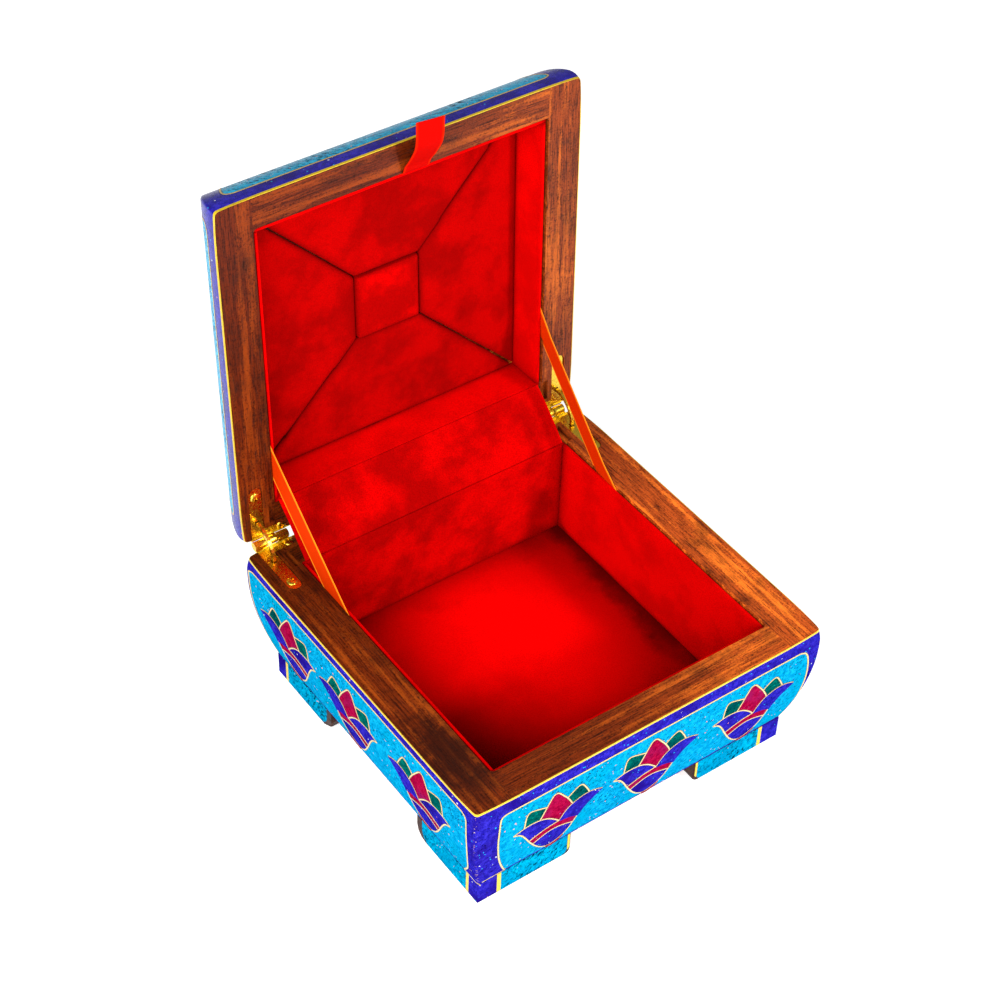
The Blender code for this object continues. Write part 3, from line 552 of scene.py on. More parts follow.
# One velvet in four copies that differ in brightness as painted light and shade: the floor's copy is
# painted lighter, as painted light; the back wall's, the flap's and the centre pad's are darker, and the
# lid panels' darker still, as painted shade.
VELVET = velvet("red_velvet", (0.72, 0.0, 0.0), (0.20, 0.0, 0.0), patches=0.35)
SHADED_VELVET = velvet("back_velvet_painted_shade", (0.60, 0.0, 0.0), (0.11, 0.0, 0.0), patches=0.55)
LIT_FLOOR_VELVET = velvet("floor_velvet_painted_light", (0.98, 0.0, 0.0), (0.50, 0.0, 0.0), patches=0.2, on_floor=True)
SHADED_PAD_VELVET = velvet("lid_velvet_painted_shade", (0.42, 0.0, 0.0), (0.14, 0.0, 0.0), patches=0.6)


def ribbon(name, middle, edge):
    """Ribbed ribbon; its own map has the width across and the length along."""
    finish = Finish(name, roughness=0.7, **{"Specular_IOR_Level": 0.02})
    weave = finish.add("ShaderNodeTexCoord", output="UV")
    width = finish.axis("X", weave)
    border = finish.step(abs(width - 0.5), 0.40, 0.46)
    ribs = finish.noise(900, 2, finish.stretched(weave, (0.02, 0.35, 1.0)))
    cloudy = finish.noise(260, 3)
    tone = finish.mix(finish.step(ribs, 0.3, 0.7, 0.0, 0.35), middle, tuple(c * 0.6 for c in middle))
    tone = finish.mix(border * (0.5 + cloudy * 0.8), tone, edge)
    finish.colour(tone)
    finish.bump(ribs, 0.00005, 0.5)
    return finish.material


STAY_RIBBON = ribbon("stay_ribbon", (0.66, 0.032, 0.0), (0.90, 0.25, 0.01))
TAB_RIBBON = ribbon("tab_ribbon", (0.50, 0.001, 0.0), (0.60, 0.010, 0.0))
print("Cloth:", [cloth.name for cloth in (VELVET, SHADED_VELVET, LIT_FLOOR_VELVET, SHADED_PAD_VELVET, STAY_RIBBON)])

# %% Give the measured pieces their finishes
SHELLS = {"lid_shell": (LID_WOOD, LID_LAPIS), "case_shell": (CASE_WOOD, CASE_LAPIS)}


def finishes_of(name):
    """A measured piece's plain finish, and the one where it is inlaid."""
    if name in SHELLS:
        return SHELLS[name]
    for mark, finish in (("foot", FOOT_WOOD), ("ribbon", STAY_RIBBON), ("tab", STAY_RIBBON),
                         ("hinge_left", HINGE_BRASS), ("hinge_right", HINGE_BRASS)):
        if mark in name:
            return finish, finish
    return VELVET, VELVET


for name, item in nodes.items():
    plain, inlaid = finishes_of(name)
    for material_slot in item.material_slots:
        old = material_slot.material.name if material_slot.material else ""
        material_slot.material = inlaid if "inlay" in old else plain
print("Finishes on", len(nodes), "measured pieces")

# %% [markdown]
# ## Tools for modelling
# Pieces are modelled as they would be by hand, with Blender's own operators. Each operator acts on
# everything that is selected, so a helper first clears the selection and picks the right objects.

# %% Selection and finishing helpers
def pick(*items):
    """Leave edit mode and select only these objects; the last one is active."""
    if bpy.context.mode != "OBJECT":
        bpy.ops.object.mode_set(mode="OBJECT")
    bpy.ops.object.select_all(action="DESELECT")
    for item in items:
        item.select_set(True)
    if items:
        bpy.context.view_layer.objects.active = items[-1]


def edit(item):
    """Go into edit mode on one object with all of its mesh selected."""
    pick(item)
    bpy.ops.object.mode_set(mode="EDIT")
    bpy.ops.mesh.select_all(action="SELECT")


def joined(items):
    """Join objects into the last of them."""
    pick(*items)
    if len(items) > 1:
        bpy.ops.object.join()
    return bpy.context.object


def own_copy(item):
    """A copy with a mesh of its own."""
    copy = item.copy()
    copy.data = item.data.copy()
    bpy.context.collection.objects.link(copy)
    return copy


def grid(rows):
    """A grid with a corner at each point of each row."""
    pick()
    bpy.ops.mesh.primitive_grid_add(
        x_subdivisions=len(rows[0]) - 1, y_subdivisions=len(rows) - 1, size=MM, calc_uvs=True,
    )
    sheet = bpy.context.object
    for vertex, point in zip(sheet.data.vertices, (point for row in rows for point in row)):
        vertex.co = point
    return sheet


def modified(item, kind, **settings):
    """Add a modifier, set it and apply it."""
    pick(item)
    modifier = item.modifiers.new(kind.lower(), kind)
    for key, value in settings.items():
        setattr(modifier, key, value)
    bpy.ops.object.modifier_apply(modifier=modifier.name)
    return item


def placed(item, name, matrix, material, body):
    """Swing a finished piece into place, name it, give it its finish and its body."""
    item.matrix_world = matrix
    pick(item)
    bpy.ops.object.transform_apply(location=True, rotation=True, scale=True)
    item.name = name
    item.data.name = name
    item.data.materials.clear()
    item.data.materials.append(material)
    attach(item, body)
    return item


def smooth(item, degrees=30):
    """Smooth shading, sharp where faces meet at more than an angle."""
    pick(item)
    bpy.ops.object.shade_smooth_by_angle(angle=math.radians(degrees))
    return item


print("Modelling helpers ready")

# %% [markdown]
# ## The curved walls
# Under the rim each wall of the case is straight for a little and then draws in to the base. The
# walls of the lid round over to a flat top. The mosaic follows these curves, so it is laid out
# flat, in millimetres along the wall and away from the rim, and each point is then pressed onto
# the wall and lifted off it by about a tenth of a millimetre.

# %% Walls of the case and the lid
BAND = 10.0 * MM
TAPER = 8.6 * MM
CROWN = 28.0 * MM
EASE_CUT, EASE_LENGTH, EASE_DROP = 0.8 * MM, 24.0 * MM, 8.0 * MM
CORNER, RIM_CORNER = 1.0 * MM, 2.0 * MM
CASE_FALL = case_high.z - case_low.z
LID_RISE = lid_high.z - lid_low.z
LID_SWEEP = 48.1 * MM


def case_profile(v):
    """How far the case's wall has drawn in, and its height, at a distance below the rim."""
    return TAPER * (max(0.0, v - BAND) / (CASE_FALL - BAND)) ** 2, -v


def lid_profile(v):
    """The same for the lid, at a distance along its rounded wall."""
    angle = math.pi / 2 * v / LID_SWEEP
    return CROWN * (1 - math.cos(angle)), LID_RISE * math.sin(angle)


class Wall:
    """One wall of a shell: u runs along it to the right, and v away from the rim."""

    def __init__(self, half, reach, depth, profile, home, turn):
        self.outward = Vector((0, -1, 0))
        self.half = half
        self.reach = reach
        self.depth = depth
        self.profile = profile
        self.matrix = home @ Matrix.Rotation(math.radians(turn), 4, "Z")

    def corner(self, v):
        """Where the straight part ends, how far it has eased in there, and the corner's radius."""
        inset, height = self.profile(v)
        share = max(0.0, 1 - abs(height) / EASE_DROP) ** 2
        cut = EASE_CUT * share
        radius = CORNER + (RIM_CORNER - CORNER) * share
        return self.half - inset - cut - radius, cut, radius

    def on_wall(self, u, v):
        inset, height = self.profile(v)
        end, cut, radius = self.corner(v)
        start = self.half - inset - EASE_LENGTH
        back = 0.0
        if abs(u) > end:
            over = min(abs(u) - end, radius * 0.8)
            back = cut + radius - math.sqrt(radius ** 2 - over ** 2)
        elif abs(u) > start:
            back = cut * ((abs(u) - start) / (end - start)) ** 2
        return Vector((u, -(self.reach - inset - back), height))

    def press(self, u, v, lift):
        """A point on the wall, lifted off it along its normal."""
        step = 0.02 * MM
        along = self.on_wall(u + step, v) - self.on_wall(u - step, v)
        away = self.on_wall(u, v + step) - self.on_wall(u, v - step)
        normal = along.cross(away).normalized()
        if normal.y > 0:
            normal = -normal
        return self.on_wall(u, v) + normal * lift

    def hip(self, v):
        """Half the wall's length at v, to the middle of its rounded corner."""
        end, cut, radius = self.corner(v)
        return end + radius * math.sin(math.radians(45))


CASE_HALF = (case_high.x - case_low.x) / 2
CASE_REACH = (case_high.y - case_low.y) / 2
LID_HALF = (lid_high.x - lid_low.x) / 2
LID_REACH = (lid_high.y - lid_low.y) / 2
TURNS = {"front": 0, "right": 90, "back": 180, "left": 270}
case_walls, lid_walls = {}, {}
for side, turn in TURNS.items():
    across = side in ("front", "back")
    half, reach = (CASE_HALF, CASE_REACH) if across else (CASE_REACH, CASE_HALF)
    case_walls[side] = Wall(half, reach, CASE_FALL, case_profile, AT_CASE, turn)
    half, reach = (LID_HALF, LID_REACH) if across else (LID_REACH, LID_HALF)
    lid_walls[side] = Wall(half, reach, LID_SWEEP, lid_profile, AT_LID, turn)
WALLS = {"case": case_walls, "lid": lid_walls}
print("The front is", round(case_walls["front"].hip(CASE_FALL) / MM * 2, 1), "mm wide at its base")

# %% [markdown]
# ### Cutting stone and wire
# A stone is cut like a shape from paper: a circle with as many corners as its outline has is
# pulled to that outline. It is then sawn into strips across the wall, because only narrow strips
# can bend with the curve, pressed onto the wall and given its thickness. A wire is a long narrow
# grid laid along a line, crowned a little along its middle.

# %% Flat shapes, wires and pressing
STRIP = 2.0 * MM
SAW_STEPS = (20, 45, 65, 72, 76, 78, 80, 81, 82, 83, 84, 85, 86, 87)
SAW_CUTS = [side * u * MM for side in (-1, 1) for u in SAW_STEPS]
INLAY = 0.3 * MM
WIRE_CROWN = 0.10 * MM


def rounded(points, steps=4):
    """A smooth line through points."""
    line = []
    last = len(points) - 1
    for index in range(last):
        before, first = points[max(index - 1, 0)], points[index]
        second, after = points[index + 1], points[min(index + 2, last)]
        for step in range(steps):
            t = step / steps
            line.append(tuple(
                0.5 * (2 * b + (c - a) * t + (2 * a - 5 * b + 4 * c - d) * t ** 2
                       + (3 * b - a - 3 * c + d) * t ** 3)
                for a, b, c, d in zip(before, first, second, after)
            ))
    line.append(tuple(points[-1]))
    return line


def flat_stone(outline):
    """A flat face in the layout plane: u to the right, v downwards."""
    pick()
    bpy.ops.mesh.primitive_circle_add(vertices=len(outline), radius=MM, fill_type="NGON")
    stone = bpy.context.object
    for vertex, (u, v) in zip(stone.data.vertices, outline):
        vertex.co = (u, 0, -v)
    return stone


def flat_wire(line, width, crown=WIRE_CROWN):
    """A narrow grid along a line, three points wide, its middle lifted towards the viewer."""
    closed = (Vector(line[0]) - Vector(line[-1])).length < 0.01 * MM
    rows = []
    for index, (u, v) in enumerate(line):
        before = line[index - 1] if index else line[-2 if closed else 0]
        after = line[index + 1] if index < len(line) - 1 else line[1 if closed else -1]
        along = (Vector(after) - Vector(before)).normalized()
        rows.append([
            (u - along.y * width * share, -lift, -(v + along.x * width * share))
            for share, lift in ((-0.5, 0.0), (0.0, crown), (0.5, 0.0))
        ])
    return grid(rows)


def thickened(sheet, outward, thickness):
    """Turn a sheet's faces outwards and give it thickness on their inner side."""
    if sum(face.normal.dot(outward) * face.area for face in sheet.data.polygons) < 0:
        edit(sheet)
        bpy.ops.mesh.flip_normals()
    return smooth(modified(sheet, "SOLIDIFY", thickness=thickness, offset=-1))


def pressed(shapes, wall, lift):
    """Join flat shapes, saw them into strips, press them onto a wall and thicken them inwards."""
    inlay = joined(shapes)
    edit(inlay)
    for number in range(1, int(wall.depth / STRIP)):
        bpy.ops.mesh.select_all(action="SELECT")
        bpy.ops.mesh.bisect(plane_co=(0, 0, -number * STRIP), plane_no=(0, 0, 1))
    for u in SAW_CUTS if wall.depth else ():
        bpy.ops.mesh.select_all(action="SELECT")
        bpy.ops.mesh.bisect(plane_co=(u, 0, 0), plane_no=(1, 0, 0))
    bpy.ops.object.mode_set(mode="OBJECT")
    for vertex in inlay.data.vertices:
        u, raised, v = vertex.co
        vertex.co = wall.press(u, -v, lift - raised)
    return thickened(inlay, wall.outward, INLAY + lift)


print("Strips of", STRIP / MM, "mm")

# %% [markdown]
# ## The mosaic
# Each wall is a lapis ground with a turquoise panel let into it, and a brass wire between the two.
# First comes the ground: one sheet over the whole wall, with enough columns at its ends to follow
# the eased corners of the rim.

# %% Lapis grounds
GROUND_ROWS = 30
# Columns from the middle to a corner: where the wall is flat, where it eases, and round the corner.
FLAT, EASING, TURNING = 3, 5, 3


def ground(wall, start, lift):
    """A sheet over a whole wall, from a distance below the rim to its far edge."""
    rows = []
    for row in range(GROUND_ROWS + 1):
        v = start + (wall.depth - start) * row / GROUND_ROWS
        end, cut, radius = wall.corner(v)
        begin = end + cut + radius - EASE_LENGTH
        spans = [begin * step / FLAT for step in range(1, FLAT + 1)]
        spans += [begin + (end - begin) * step / EASING for step in range(1, EASING + 1)]
        turns = [math.radians(45 * step / TURNING) for step in range(1, TURNING + 1)]
        spans += [end + radius * math.sin(angle) for angle in turns]
        places = [-span for span in reversed(spans)] + [0.0] + spans
        rows.append([wall.press(u, v, lift) for u in places])
    return thickened(grid(rows), wall.outward, INLAY)


GROUND_LIFT = 0.04 * MM
LINE_WIDTH = 1.0 * MM
for body, walls in WALLS.items():
    for side, wall in walls.items():
        start = LINE_WIDTH * 0.8 if side == "back" else 0.1 * MM
        sheet = ground(wall, start, GROUND_LIFT)
        placed(sheet, f"{body}_{side}_ground", wall.matrix, GROUND[body], body)
print("Lapis grounds on", len(case_walls) + len(lid_walls), "walls")

# %% [markdown]
# ### The line round each rim
# A flat brass strip is let in along the top of every wall, so that the two halves of the closed
# box meet brass to brass. It is a sheet like the ground's, only as tall as the strip and crowned.

# %% Brass line round both rims
LINE_SHARES = [math.sin(math.pi / 2 * (column / 14 - 1)) for column in range(29)]
LINE_ROWS = ((-0.03 * MM, 0.10 * MM), (LINE_WIDTH * 0.5, 0.14 * MM), (LINE_WIDTH, 0.10 * MM))
for body, walls in WALLS.items():
    strips = []
    for side, wall in walls.items():
        rows = []
        for v, lift in LINE_ROWS:
            hip = wall.hip(max(v, 0.0))
            rows.append([wall.press(hip * share, v, lift) for share in LINE_SHARES])
        strip = thickened(grid(rows), wall.outward, INLAY)
        strip.matrix_world = wall.matrix
        bpy.ops.object.transform_apply(location=True, rotation=True, scale=True)
        strips.append(strip)
    placed(joined(strips), f"{body}_rim_line", Matrix.Identity(4), RIM_BRASS, body)
print("Rim lines laid")

# %% [markdown]
# ### Turquoise panels
# The panels have rounded upper corners and follow the leaning ends of the walls. They were cut by
# eye, so on the front the lapis border is wide at the left and thin at the right, and on the left
# wall it is nearly gone towards the hinge. The wire that parts turquoise from lapis follows the
# same outline, over a wider bed of dark resin; on the case both stop at the base.

# %% Panels and their wires
WIRE_WIDTH = 0.62 * MM
BED_WIDTH = 1.0 * MM
PANEL_LIFT = 0.07 * MM
WIRE_LIFT = 0.08 * MM
WIRE_STEP = 0.02 * MM
PANEL_EXTRA = 0.1 * MM
BACK_END = [
    (76.5, 8.2), (79.6, 9.6), (81.2, 12.5), (82, 18), (81.4, 27), (79.7, 36), (77.0, 45), (73.6, 53),
    (71.4, 56.4),
]
FRONT_LEFT_END = [
    (-68.3, 56.4), (-69.5, 55.0), (-73.4, 45.6), (-76.2, 36), (-77.8, 25), (-77.8, 14), (-77.4, 10.2),
    (-76.4, 8.7), (-74.4, 8.2),
]
FRONT_RIGHT_END = [
    (78.5, 8.2), (81.6, 9.6), (83.3, 12.5), (84.6, 18), (85.6, 27), (85.6, 36), (84.9, 45), (82.9, 52.5),
    (80.9, 56.4),
]
LEFT_RIGHT_END = [
    (77.5, 5.2), (80.0, 6.4), (80.8, 9.5), (80.8, 18), (80.3, 27), (78.9, 36), (76.6, 45), (72.0, 53),
    (69.6, 56.4),
]
THIN_BORDER, PANEL_TOP = 1.8, 5.2


def mirrored(points):
    return [(-u, v) for u, v in reversed(points)]


def along_hip(wall, v, border):
    """A point at v, a border's width inside a wall's left end."""
    return border - wall.hip(v * MM) / MM, v


left_end = [along_hip(case_walls["left"], v, THIN_BORDER) for v in (56.4, 52, 45, 36, 27, 18, 10, 6.8)]
left_end.append(along_hip(case_walls["left"], PANEL_TOP, PANEL_TOP))
right_end = [(u - 3.0, v) for u, v in BACK_END]
CASE_PANELS = {
    "front": (FRONT_LEFT_END, FRONT_RIGHT_END),
    "left": (left_end, LEFT_RIGHT_END),
    "right": (mirrored(right_end), right_end),
    "back": (mirrored(BACK_END), BACK_END),
}


def panel_line(ends):
    """The outline of a panel, in metres, from its two ends in millimetres."""
    left_end, right_end = ends
    return [(u * MM, v * MM) for u, v in rounded(left_end) + rounded(right_end)]


def lid_panel_ends(wall):
    """Ends of a lid panel, a border's width inside the wall's leaning ends."""
    right_end = []
    for v in (7.4, 8.6, 11, 16, 22, 28, 34, 40, 42.6, 43.6):
        inside = 8.5 + 3.5 * max(0, (v - 40) / 3.6) ** 2 + 4.0 * max(0, (10 - v) / 2.6) ** 2
        right_end.append((wall.hip(v * MM) / MM - inside, v))
    return mirrored(right_end), right_end


for body, walls in WALLS.items():
    for side, wall in walls.items():
        line = panel_line(CASE_PANELS[side] if body == "case" else lid_panel_ends(wall))
        panel = pressed([flat_stone(line)], wall, PANEL_LIFT)
        placed(panel, f"{body}_{side}_panel", wall.matrix, PANEL[body], body)
        wire = line if body == "case" else line + line[:1]
        bed = pressed([flat_wire(wire, BED_WIDTH + PANEL_EXTRA, crown=0.0)], wall, WIRE_LIFT)
        placed(bed, f"{body}_{side}_panel_bed", wall.matrix, RESIN, body)
        border = pressed([flat_wire(wire, WIRE_WIDTH + PANEL_EXTRA)], wall, WIRE_LIFT + WIRE_STEP)
        placed(border, f"{body}_{side}_panel_wire", wall.matrix, WIRE, body)
BASE_LINE_UP, BASE_LINE_WIDTH = 0.5 * MM, 0.55 * MM
BASE_LINES = {"front": (-79.6, -68), "left": (69.4, 79.6), "back": (-79.6, -71), "right": (68.5, 79.6)}
for side, (start, end) in BASE_LINES.items():
    wall = case_walls[side]
    line = [((start + (end - start) * step / 8) * MM, wall.depth - BASE_LINE_UP) for step in range(9)]
    base_line = pressed([flat_wire(line, BASE_LINE_WIDTH)], wall, WIRE_LIFT)
    placed(base_line, f"case_{side}_base_line", wall.matrix, WIRE, "case")
print("Panels:", [f"{body} {side}" for body in ("case", "lid") for side in case_walls])

# %% [markdown]
# ### The lotus
# Three lotus flowers sit in each panel of the case. A flower is drawn once, as the lines of its
# wires in millimetres from its middle and below the rim. Each stone's outline is made of stretches
# of those same lines, so stones meet under the wires, as on the real box. A row of flowers is given
# by where each one stands on the wall, which way it faces, and how far it is set up or down.

# %% Draw the flower
LOTUS = {
    "left_wing": [(-22.3, 26.6), (-17.2, 25.0), (-13.5, 24.7), (-9.4, 25.3), (-6, 26.8), (-2.7, 29.4),
                  (0.3, 32.6), (1.7, 34.4)],
    "right_wing": [(22.4, 26.4), (18.8, 24.7), (15.6, 23.9), (11.5, 24.1), (7.2, 25.9), (5, 27.8),
                   (3.3, 30.4), (1.7, 34.4)],
    "cup": [(-22.3, 26.6), (-18.8, 28.7), (-16.4, 32.0), (-14.5, 35.4), (-12.8, 38.7), (-9.9, 43.7),
            (-7, 48.2), (-3.8, 52.3), (-0.5, 55.2), (2.2, 55.9), (5.2, 54.4), (7.7, 51.5), (9.3, 48),
            (10.6, 43.2), (11.9, 38.6), (13.4, 35), (15.4, 32), (18, 29.5), (22.4, 26.4)],
    "sash_top": [(-12.8, 38.7), (-8, 36.4), (-4.3, 35.1), (-0.7, 34.6), (1.7, 34.4), (5.5, 35.2),
                 (8.4, 36.4), (11.9, 38.6)],
    "sash_foot": [(-9.9, 43.7), (-6, 41.0), (-2.8, 39.6), (0.4, 39.3), (3.8, 40.1), (7, 41.4),
                  (10.6, 43.2)],
    "heart_left": [(-9.4, 25.3), (-7.9, 21.7), (-6.5, 18.3), (-4.9, 14.9), (-3.6, 12.9), (-2.0, 12.4)],
    "heart_right": [(-2.0, 12.4), (-0.6, 13.4), (2.3, 17.3), (3.9, 19.6), (5.6, 22.6), (7.2, 25.9)],
    "keel": [(-0.5, 55.2), (0.4, 56.6), (1.8, 57.1), (3.9, 56.7), (6.2, 54.6), (7.7, 51.5)],
    "left_leaf": [(-17.2, 25.0), (-17.1, 21), (-16.8, 18.2), (-16.0, 16.1), (-14.6, 15.5),
                  (-12.2, 16.1), (-9.3, 17.2), (-6.5, 18.3)],
    "right_leaf": [(3.9, 19.6), (6.2, 17.5), (8.4, 15.9), (10.2, 15.4), (11.6, 16.4), (13.6, 19.8),
                   (15.6, 23.9)],
}


def stretch(line, first, last):
    """Part of one of the flower's lines, between two of its points, in either direction."""
    points = LOTUS[line]
    if first <= last:
        return rounded(points[first:last + 1])
    return rounded(points[last:first + 1])[::-1]


STONES = {
    LAPIS: [
        stretch("left_wing", 0, 7) + stretch("sash_top", 4, 0) + stretch("cup", 4, 0),
        stretch("right_wing", 0, 7) + stretch("sash_top", 4, 7) + stretch("cup", 14, 18),
        stretch("sash_foot", 0, 6) + stretch("cup", 13, 5),
    ],
    CRIMSON: [
        stretch("sash_top", 0, 7) + stretch("cup", 14, 13) + stretch("sash_foot", 6, 0)
        + stretch("cup", 5, 4),
        stretch("heart_left", 0, 5) + stretch("heart_right", 0, 5) + stretch("right_wing", 4, 7)
        + stretch("left_wing", 7, 3),
        stretch("keel", 0, 5) + stretch("cup", 11, 8),
    ],
    MALACHITE: [
        stretch("left_leaf", 0, 7) + stretch("heart_left", 2, 0) + stretch("left_wing", 3, 1),
        stretch("right_leaf", 0, 6) + stretch("right_wing", 2, 4) + stretch("heart_right", 5, 3),
    ],
}


def without_doubles(outline):
    """Drop points that lie on the one before, also round the end."""
    kept = []
    for point in outline:
        if not kept or math.dist(point, kept[-1]) > 0.02:
            kept.append(point)
    return kept[:-1] if math.dist(kept[0], kept[-1]) <= 0.02 else kept


def at_place(points, centre, facing, size=1.0, drop=0.0):
    """The flower's points in metres, moved along the wall; facing -1 mirrors it."""
    return [((centre + facing * u * size) * MM, (v * size + drop) * MM) for u, v in points]


print("Flower of", len(LOTUS), "wires and", sum(len(parts) for parts in STONES.values()), "stones")

# %% Set three flowers in each wall of the case
PETAL_LIFT = 0.10 * MM
PETAL_WIRE_LIFT = 0.12 * MM
FLOWERS = {
    "front": ((-47.8, 2.75, 55.7), 1, 0.0),
    "left": ((-54.6, -6.6, 46.8), -1, -2.0),
    "back": ((-52.0, 0.0, 52.0), 1, 0.0),
    "right": ((-50.0, 0.0, 50.0), -1, 0.0),
}
PETAL_LINES = (
    ("beds", BED_WIDTH, 0.0, PETAL_WIRE_LIFT, RESIN, "inlaid_wood"),
    ("wires", WIRE_WIDTH, WIRE_CROWN, PETAL_WIRE_LIFT + WIRE_STEP, WIRE, "brass"),
)
for side, (centres, facing, drop) in FLOWERS.items():
    wall = case_walls[side]
    for stone, outlines in STONES.items():
        flats = [
            flat_stone(at_place(without_doubles(outline), centre, facing, drop=drop))
            for centre in centres for outline in outlines
        ]
        inlay = pressed(flats, wall, PETAL_LIFT)
        placed(inlay, f"case_{side}_{stone.name}_petals", wall.matrix, stone, "case")
    for kind, width, crown, lift, material, slot in PETAL_LINES:
        lines = [
            flat_wire(at_place(rounded(line), centre, facing, drop=drop), width, crown)
            for centre in centres for line in LOTUS.values()
        ]
        placed(pressed(lines, wall, lift), f"case_{side}_petal_{kind}", wall.matrix, material, "case")
print("Flowers set:", sum(len(centres) for centres, facing, drop in FLOWERS.values()))

# %% [markdown]
# ### The top of the lid
# The flat top is out of sight in the photograph. It gets what the walls have, in keeping and
# plainer: the lapis ground, one turquoise panel with its wire, and a single larger flower.

# %% Lay out the lid's top
class FlatTop:
    """The lid's flat top: u runs to the right and v towards the front."""

    outward = Vector((0, 0, 1))
    depth = 0.0
    matrix = AT_LID

    @staticmethod
    def press(u, v, lift):
        return Vector((u, -v, LID_RISE + lift))


def rounded_rectangle(half_u, half_v, radius, steps=6):
    line = []
    for corner in range(4):
        centre_u = (half_u - radius) * (1 if corner in (0, 3) else -1)
        centre_v = (half_v - radius) * (1 if corner in (0, 1) else -1)
        for step in range(steps + 1):
            angle = math.pi / 2 * (corner + step / steps)
            line.append((centre_u + radius * math.cos(angle), centre_v + radius * math.sin(angle)))
    return line


top = FlatTop()
TOP_U, TOP_V = LID_HALF - CROWN, LID_REACH - CROWN
TOP_BORDER = 7.0 * MM
plate = pressed([flat_stone(rounded_rectangle(TOP_U, TOP_V, 0.6 * MM))], top, GROUND_LIFT)
placed(plate, "lid_top_ground", top.matrix, LID_LAPIS, "lid")
outline = rounded_rectangle(TOP_U - TOP_BORDER, TOP_V - TOP_BORDER, 6.0 * MM)
plate = pressed([flat_stone(outline)], top, PANEL_LIFT)
placed(plate, "lid_top_panel", top.matrix, LID_TURQUOISE, "lid")
BIG = 1.35
BIG_DROP = -34.5 * BIG
for stone, outlines in STONES.items():
    flats = [flat_stone(at_place(without_doubles(outline), 0, 1, BIG, BIG_DROP)) for outline in outlines]
    petals = pressed(flats, top, PETAL_LIFT)
    placed(petals, f"lid_top_{stone.name}_petals", top.matrix, stone, "lid")
wires = [flat_wire(at_place(rounded(line), 0, 1, BIG, BIG_DROP), WIRE_WIDTH) for line in LOTUS.values()]
wires.append(flat_wire(outline + outline[:1], WIRE_WIDTH))
placed(pressed(wires, top, PETAL_WIRE_LIFT), "lid_top_wires", top.matrix, WIRE, "lid")
print("Lid top", round(TOP_U / MM * 2, 1), "x", round(TOP_V / MM * 2, 1), "mm")

# %% [markdown]
# ### The bracket feet
# Every outer face of a foot carries lapis round the corner of the box, a brass strip, and then
# turquoise. At the front and the back a last brass strip closes the leg's end, and at the sides the
# end is bare dark wood. The fields stay clear of the table, and dark wood shows beneath them.

# %% Face the feet
FOOT_TOP = foot_high.z - 0.15 * MM
FOOT_BASE = 0.6 * MM
FOOT_LIFT = 0.06 * MM
END_RIM = 0.7 * MM


class FootFaces:
    """The flat plane of the feet under one wall: u along the wall, v down from the foot's top."""

    outward = Vector((0, -1, 0))
    depth = 0.0

    def __init__(self, wall, turn):
        self.corner = wall.half - TAPER
        self.plane = wall.reach - TAPER
        home = Matrix.Translation((0, CASE_CENTRE.y, 0))
        self.matrix = home @ Matrix.Rotation(math.radians(turn), 4, "Z")

    def press(self, u, v, lift):
        return Vector((u, -self.plane - lift, FOOT_TOP - v))


def foot_field(start, end, curve=0.0):
    """Outline between two distances from the box's corner; the leg's end is rounded below."""
    depth = FOOT_TOP - FOOT_BASE
    outline = [(start, 0), (end, 0)]
    for step in range(6):
        angle = math.pi / 2 * step / 5
        outline.append((end - curve * (1 - math.cos(angle)), depth - curve * (1 - math.sin(angle))))
    outline.append((start, depth))
    return outline if curve else [(start, 0), (end, 0), (end, depth), (start, depth)]


def foot_fields(side):
    """The outlines of lapis, turquoise and brass on one side's feet."""
    if side in ("front", "back"):
        field, strip, curve = 9.7 * MM, 2.0 * MM, 3.0 * MM
        outer = foot_high.x - foot_low.x - END_RIM
        inner = outer - 1.1 * MM
        end_strips = [[
            (inner, 0), (outer, 0), (outer, 8.4 * MM), (outer - 0.6 * MM, 9.4 * MM), (inner, 9.6 * MM),
        ]]
        turquoise_end = outer - 1.3 * MM
    else:
        field, strip, curve = 6.5 * MM, 1.8 * MM, 6.0 * MM
        end_strips = []
        turquoise_end = foot_high.y - foot_low.y - 4.2 * MM
    return (
        ("lapis", LAPIS, "inlaid_wood", FOOT_LIFT, [foot_field(-0.02 * MM, field)]),
        ("turquoise", FOOT_TURQUOISE, "inlaid_wood", FOOT_LIFT,
         [foot_field(field + strip, turquoise_end, curve)]),
        ("strips", RIM_BRASS, "brass", FOOT_LIFT + 0.03 * MM,
         [foot_field(field, field + strip)] + end_strips),
    )


for side, turn in TURNS.items():
    faces = FootFaces(case_walls[side], turn)
    for kind, material, slot, lift, outlines in foot_fields(side):
        flats = []
        for outline in outlines:
            flats.append(flat_stone([(u - faces.corner, v) for u, v in outline]))
            flats.append(flat_stone([(faces.corner - u, v) for u, v in reversed(outline)]))
        placed(pressed(flats, faces, lift), f"feet_{side}_{kind}", faces.matrix, material, "case")
print("Feet faced:", len(TURNS), "sides")

# %% [markdown]
# ## The lining
# The walls and floor inside are cards wrapped in velvet and pushed into the box. Wrapped edges are
# round and the cloth swells a little over a card's face, so each card starts as a block of the
# measured size, is cut into squares, rounded at its edges and given a slight cushion. Each point
# also keeps how near it is to a seam, and the velvet's painted shade there reads that.

# %% Velvet-covered cards
SEAM_REACH = 5.0 * MM
CARD_EDGE = 0.45 * MM
CARD_SWELL, CARD_WAVE = 0.16 * MM, 0.12 * MM
CARDS = {"case_floor_lining": ("case", 2, 1)}
for body, stem in (("case", "case_lining"), ("lid", "lid_band")):
    for side, thin, inward in (("front", 1, 1), ("back", 1, -1), ("left", 0, 1), ("right", 0, -1)):
        CARDS[f"{stem}_{side}"] = (body, thin, inward)


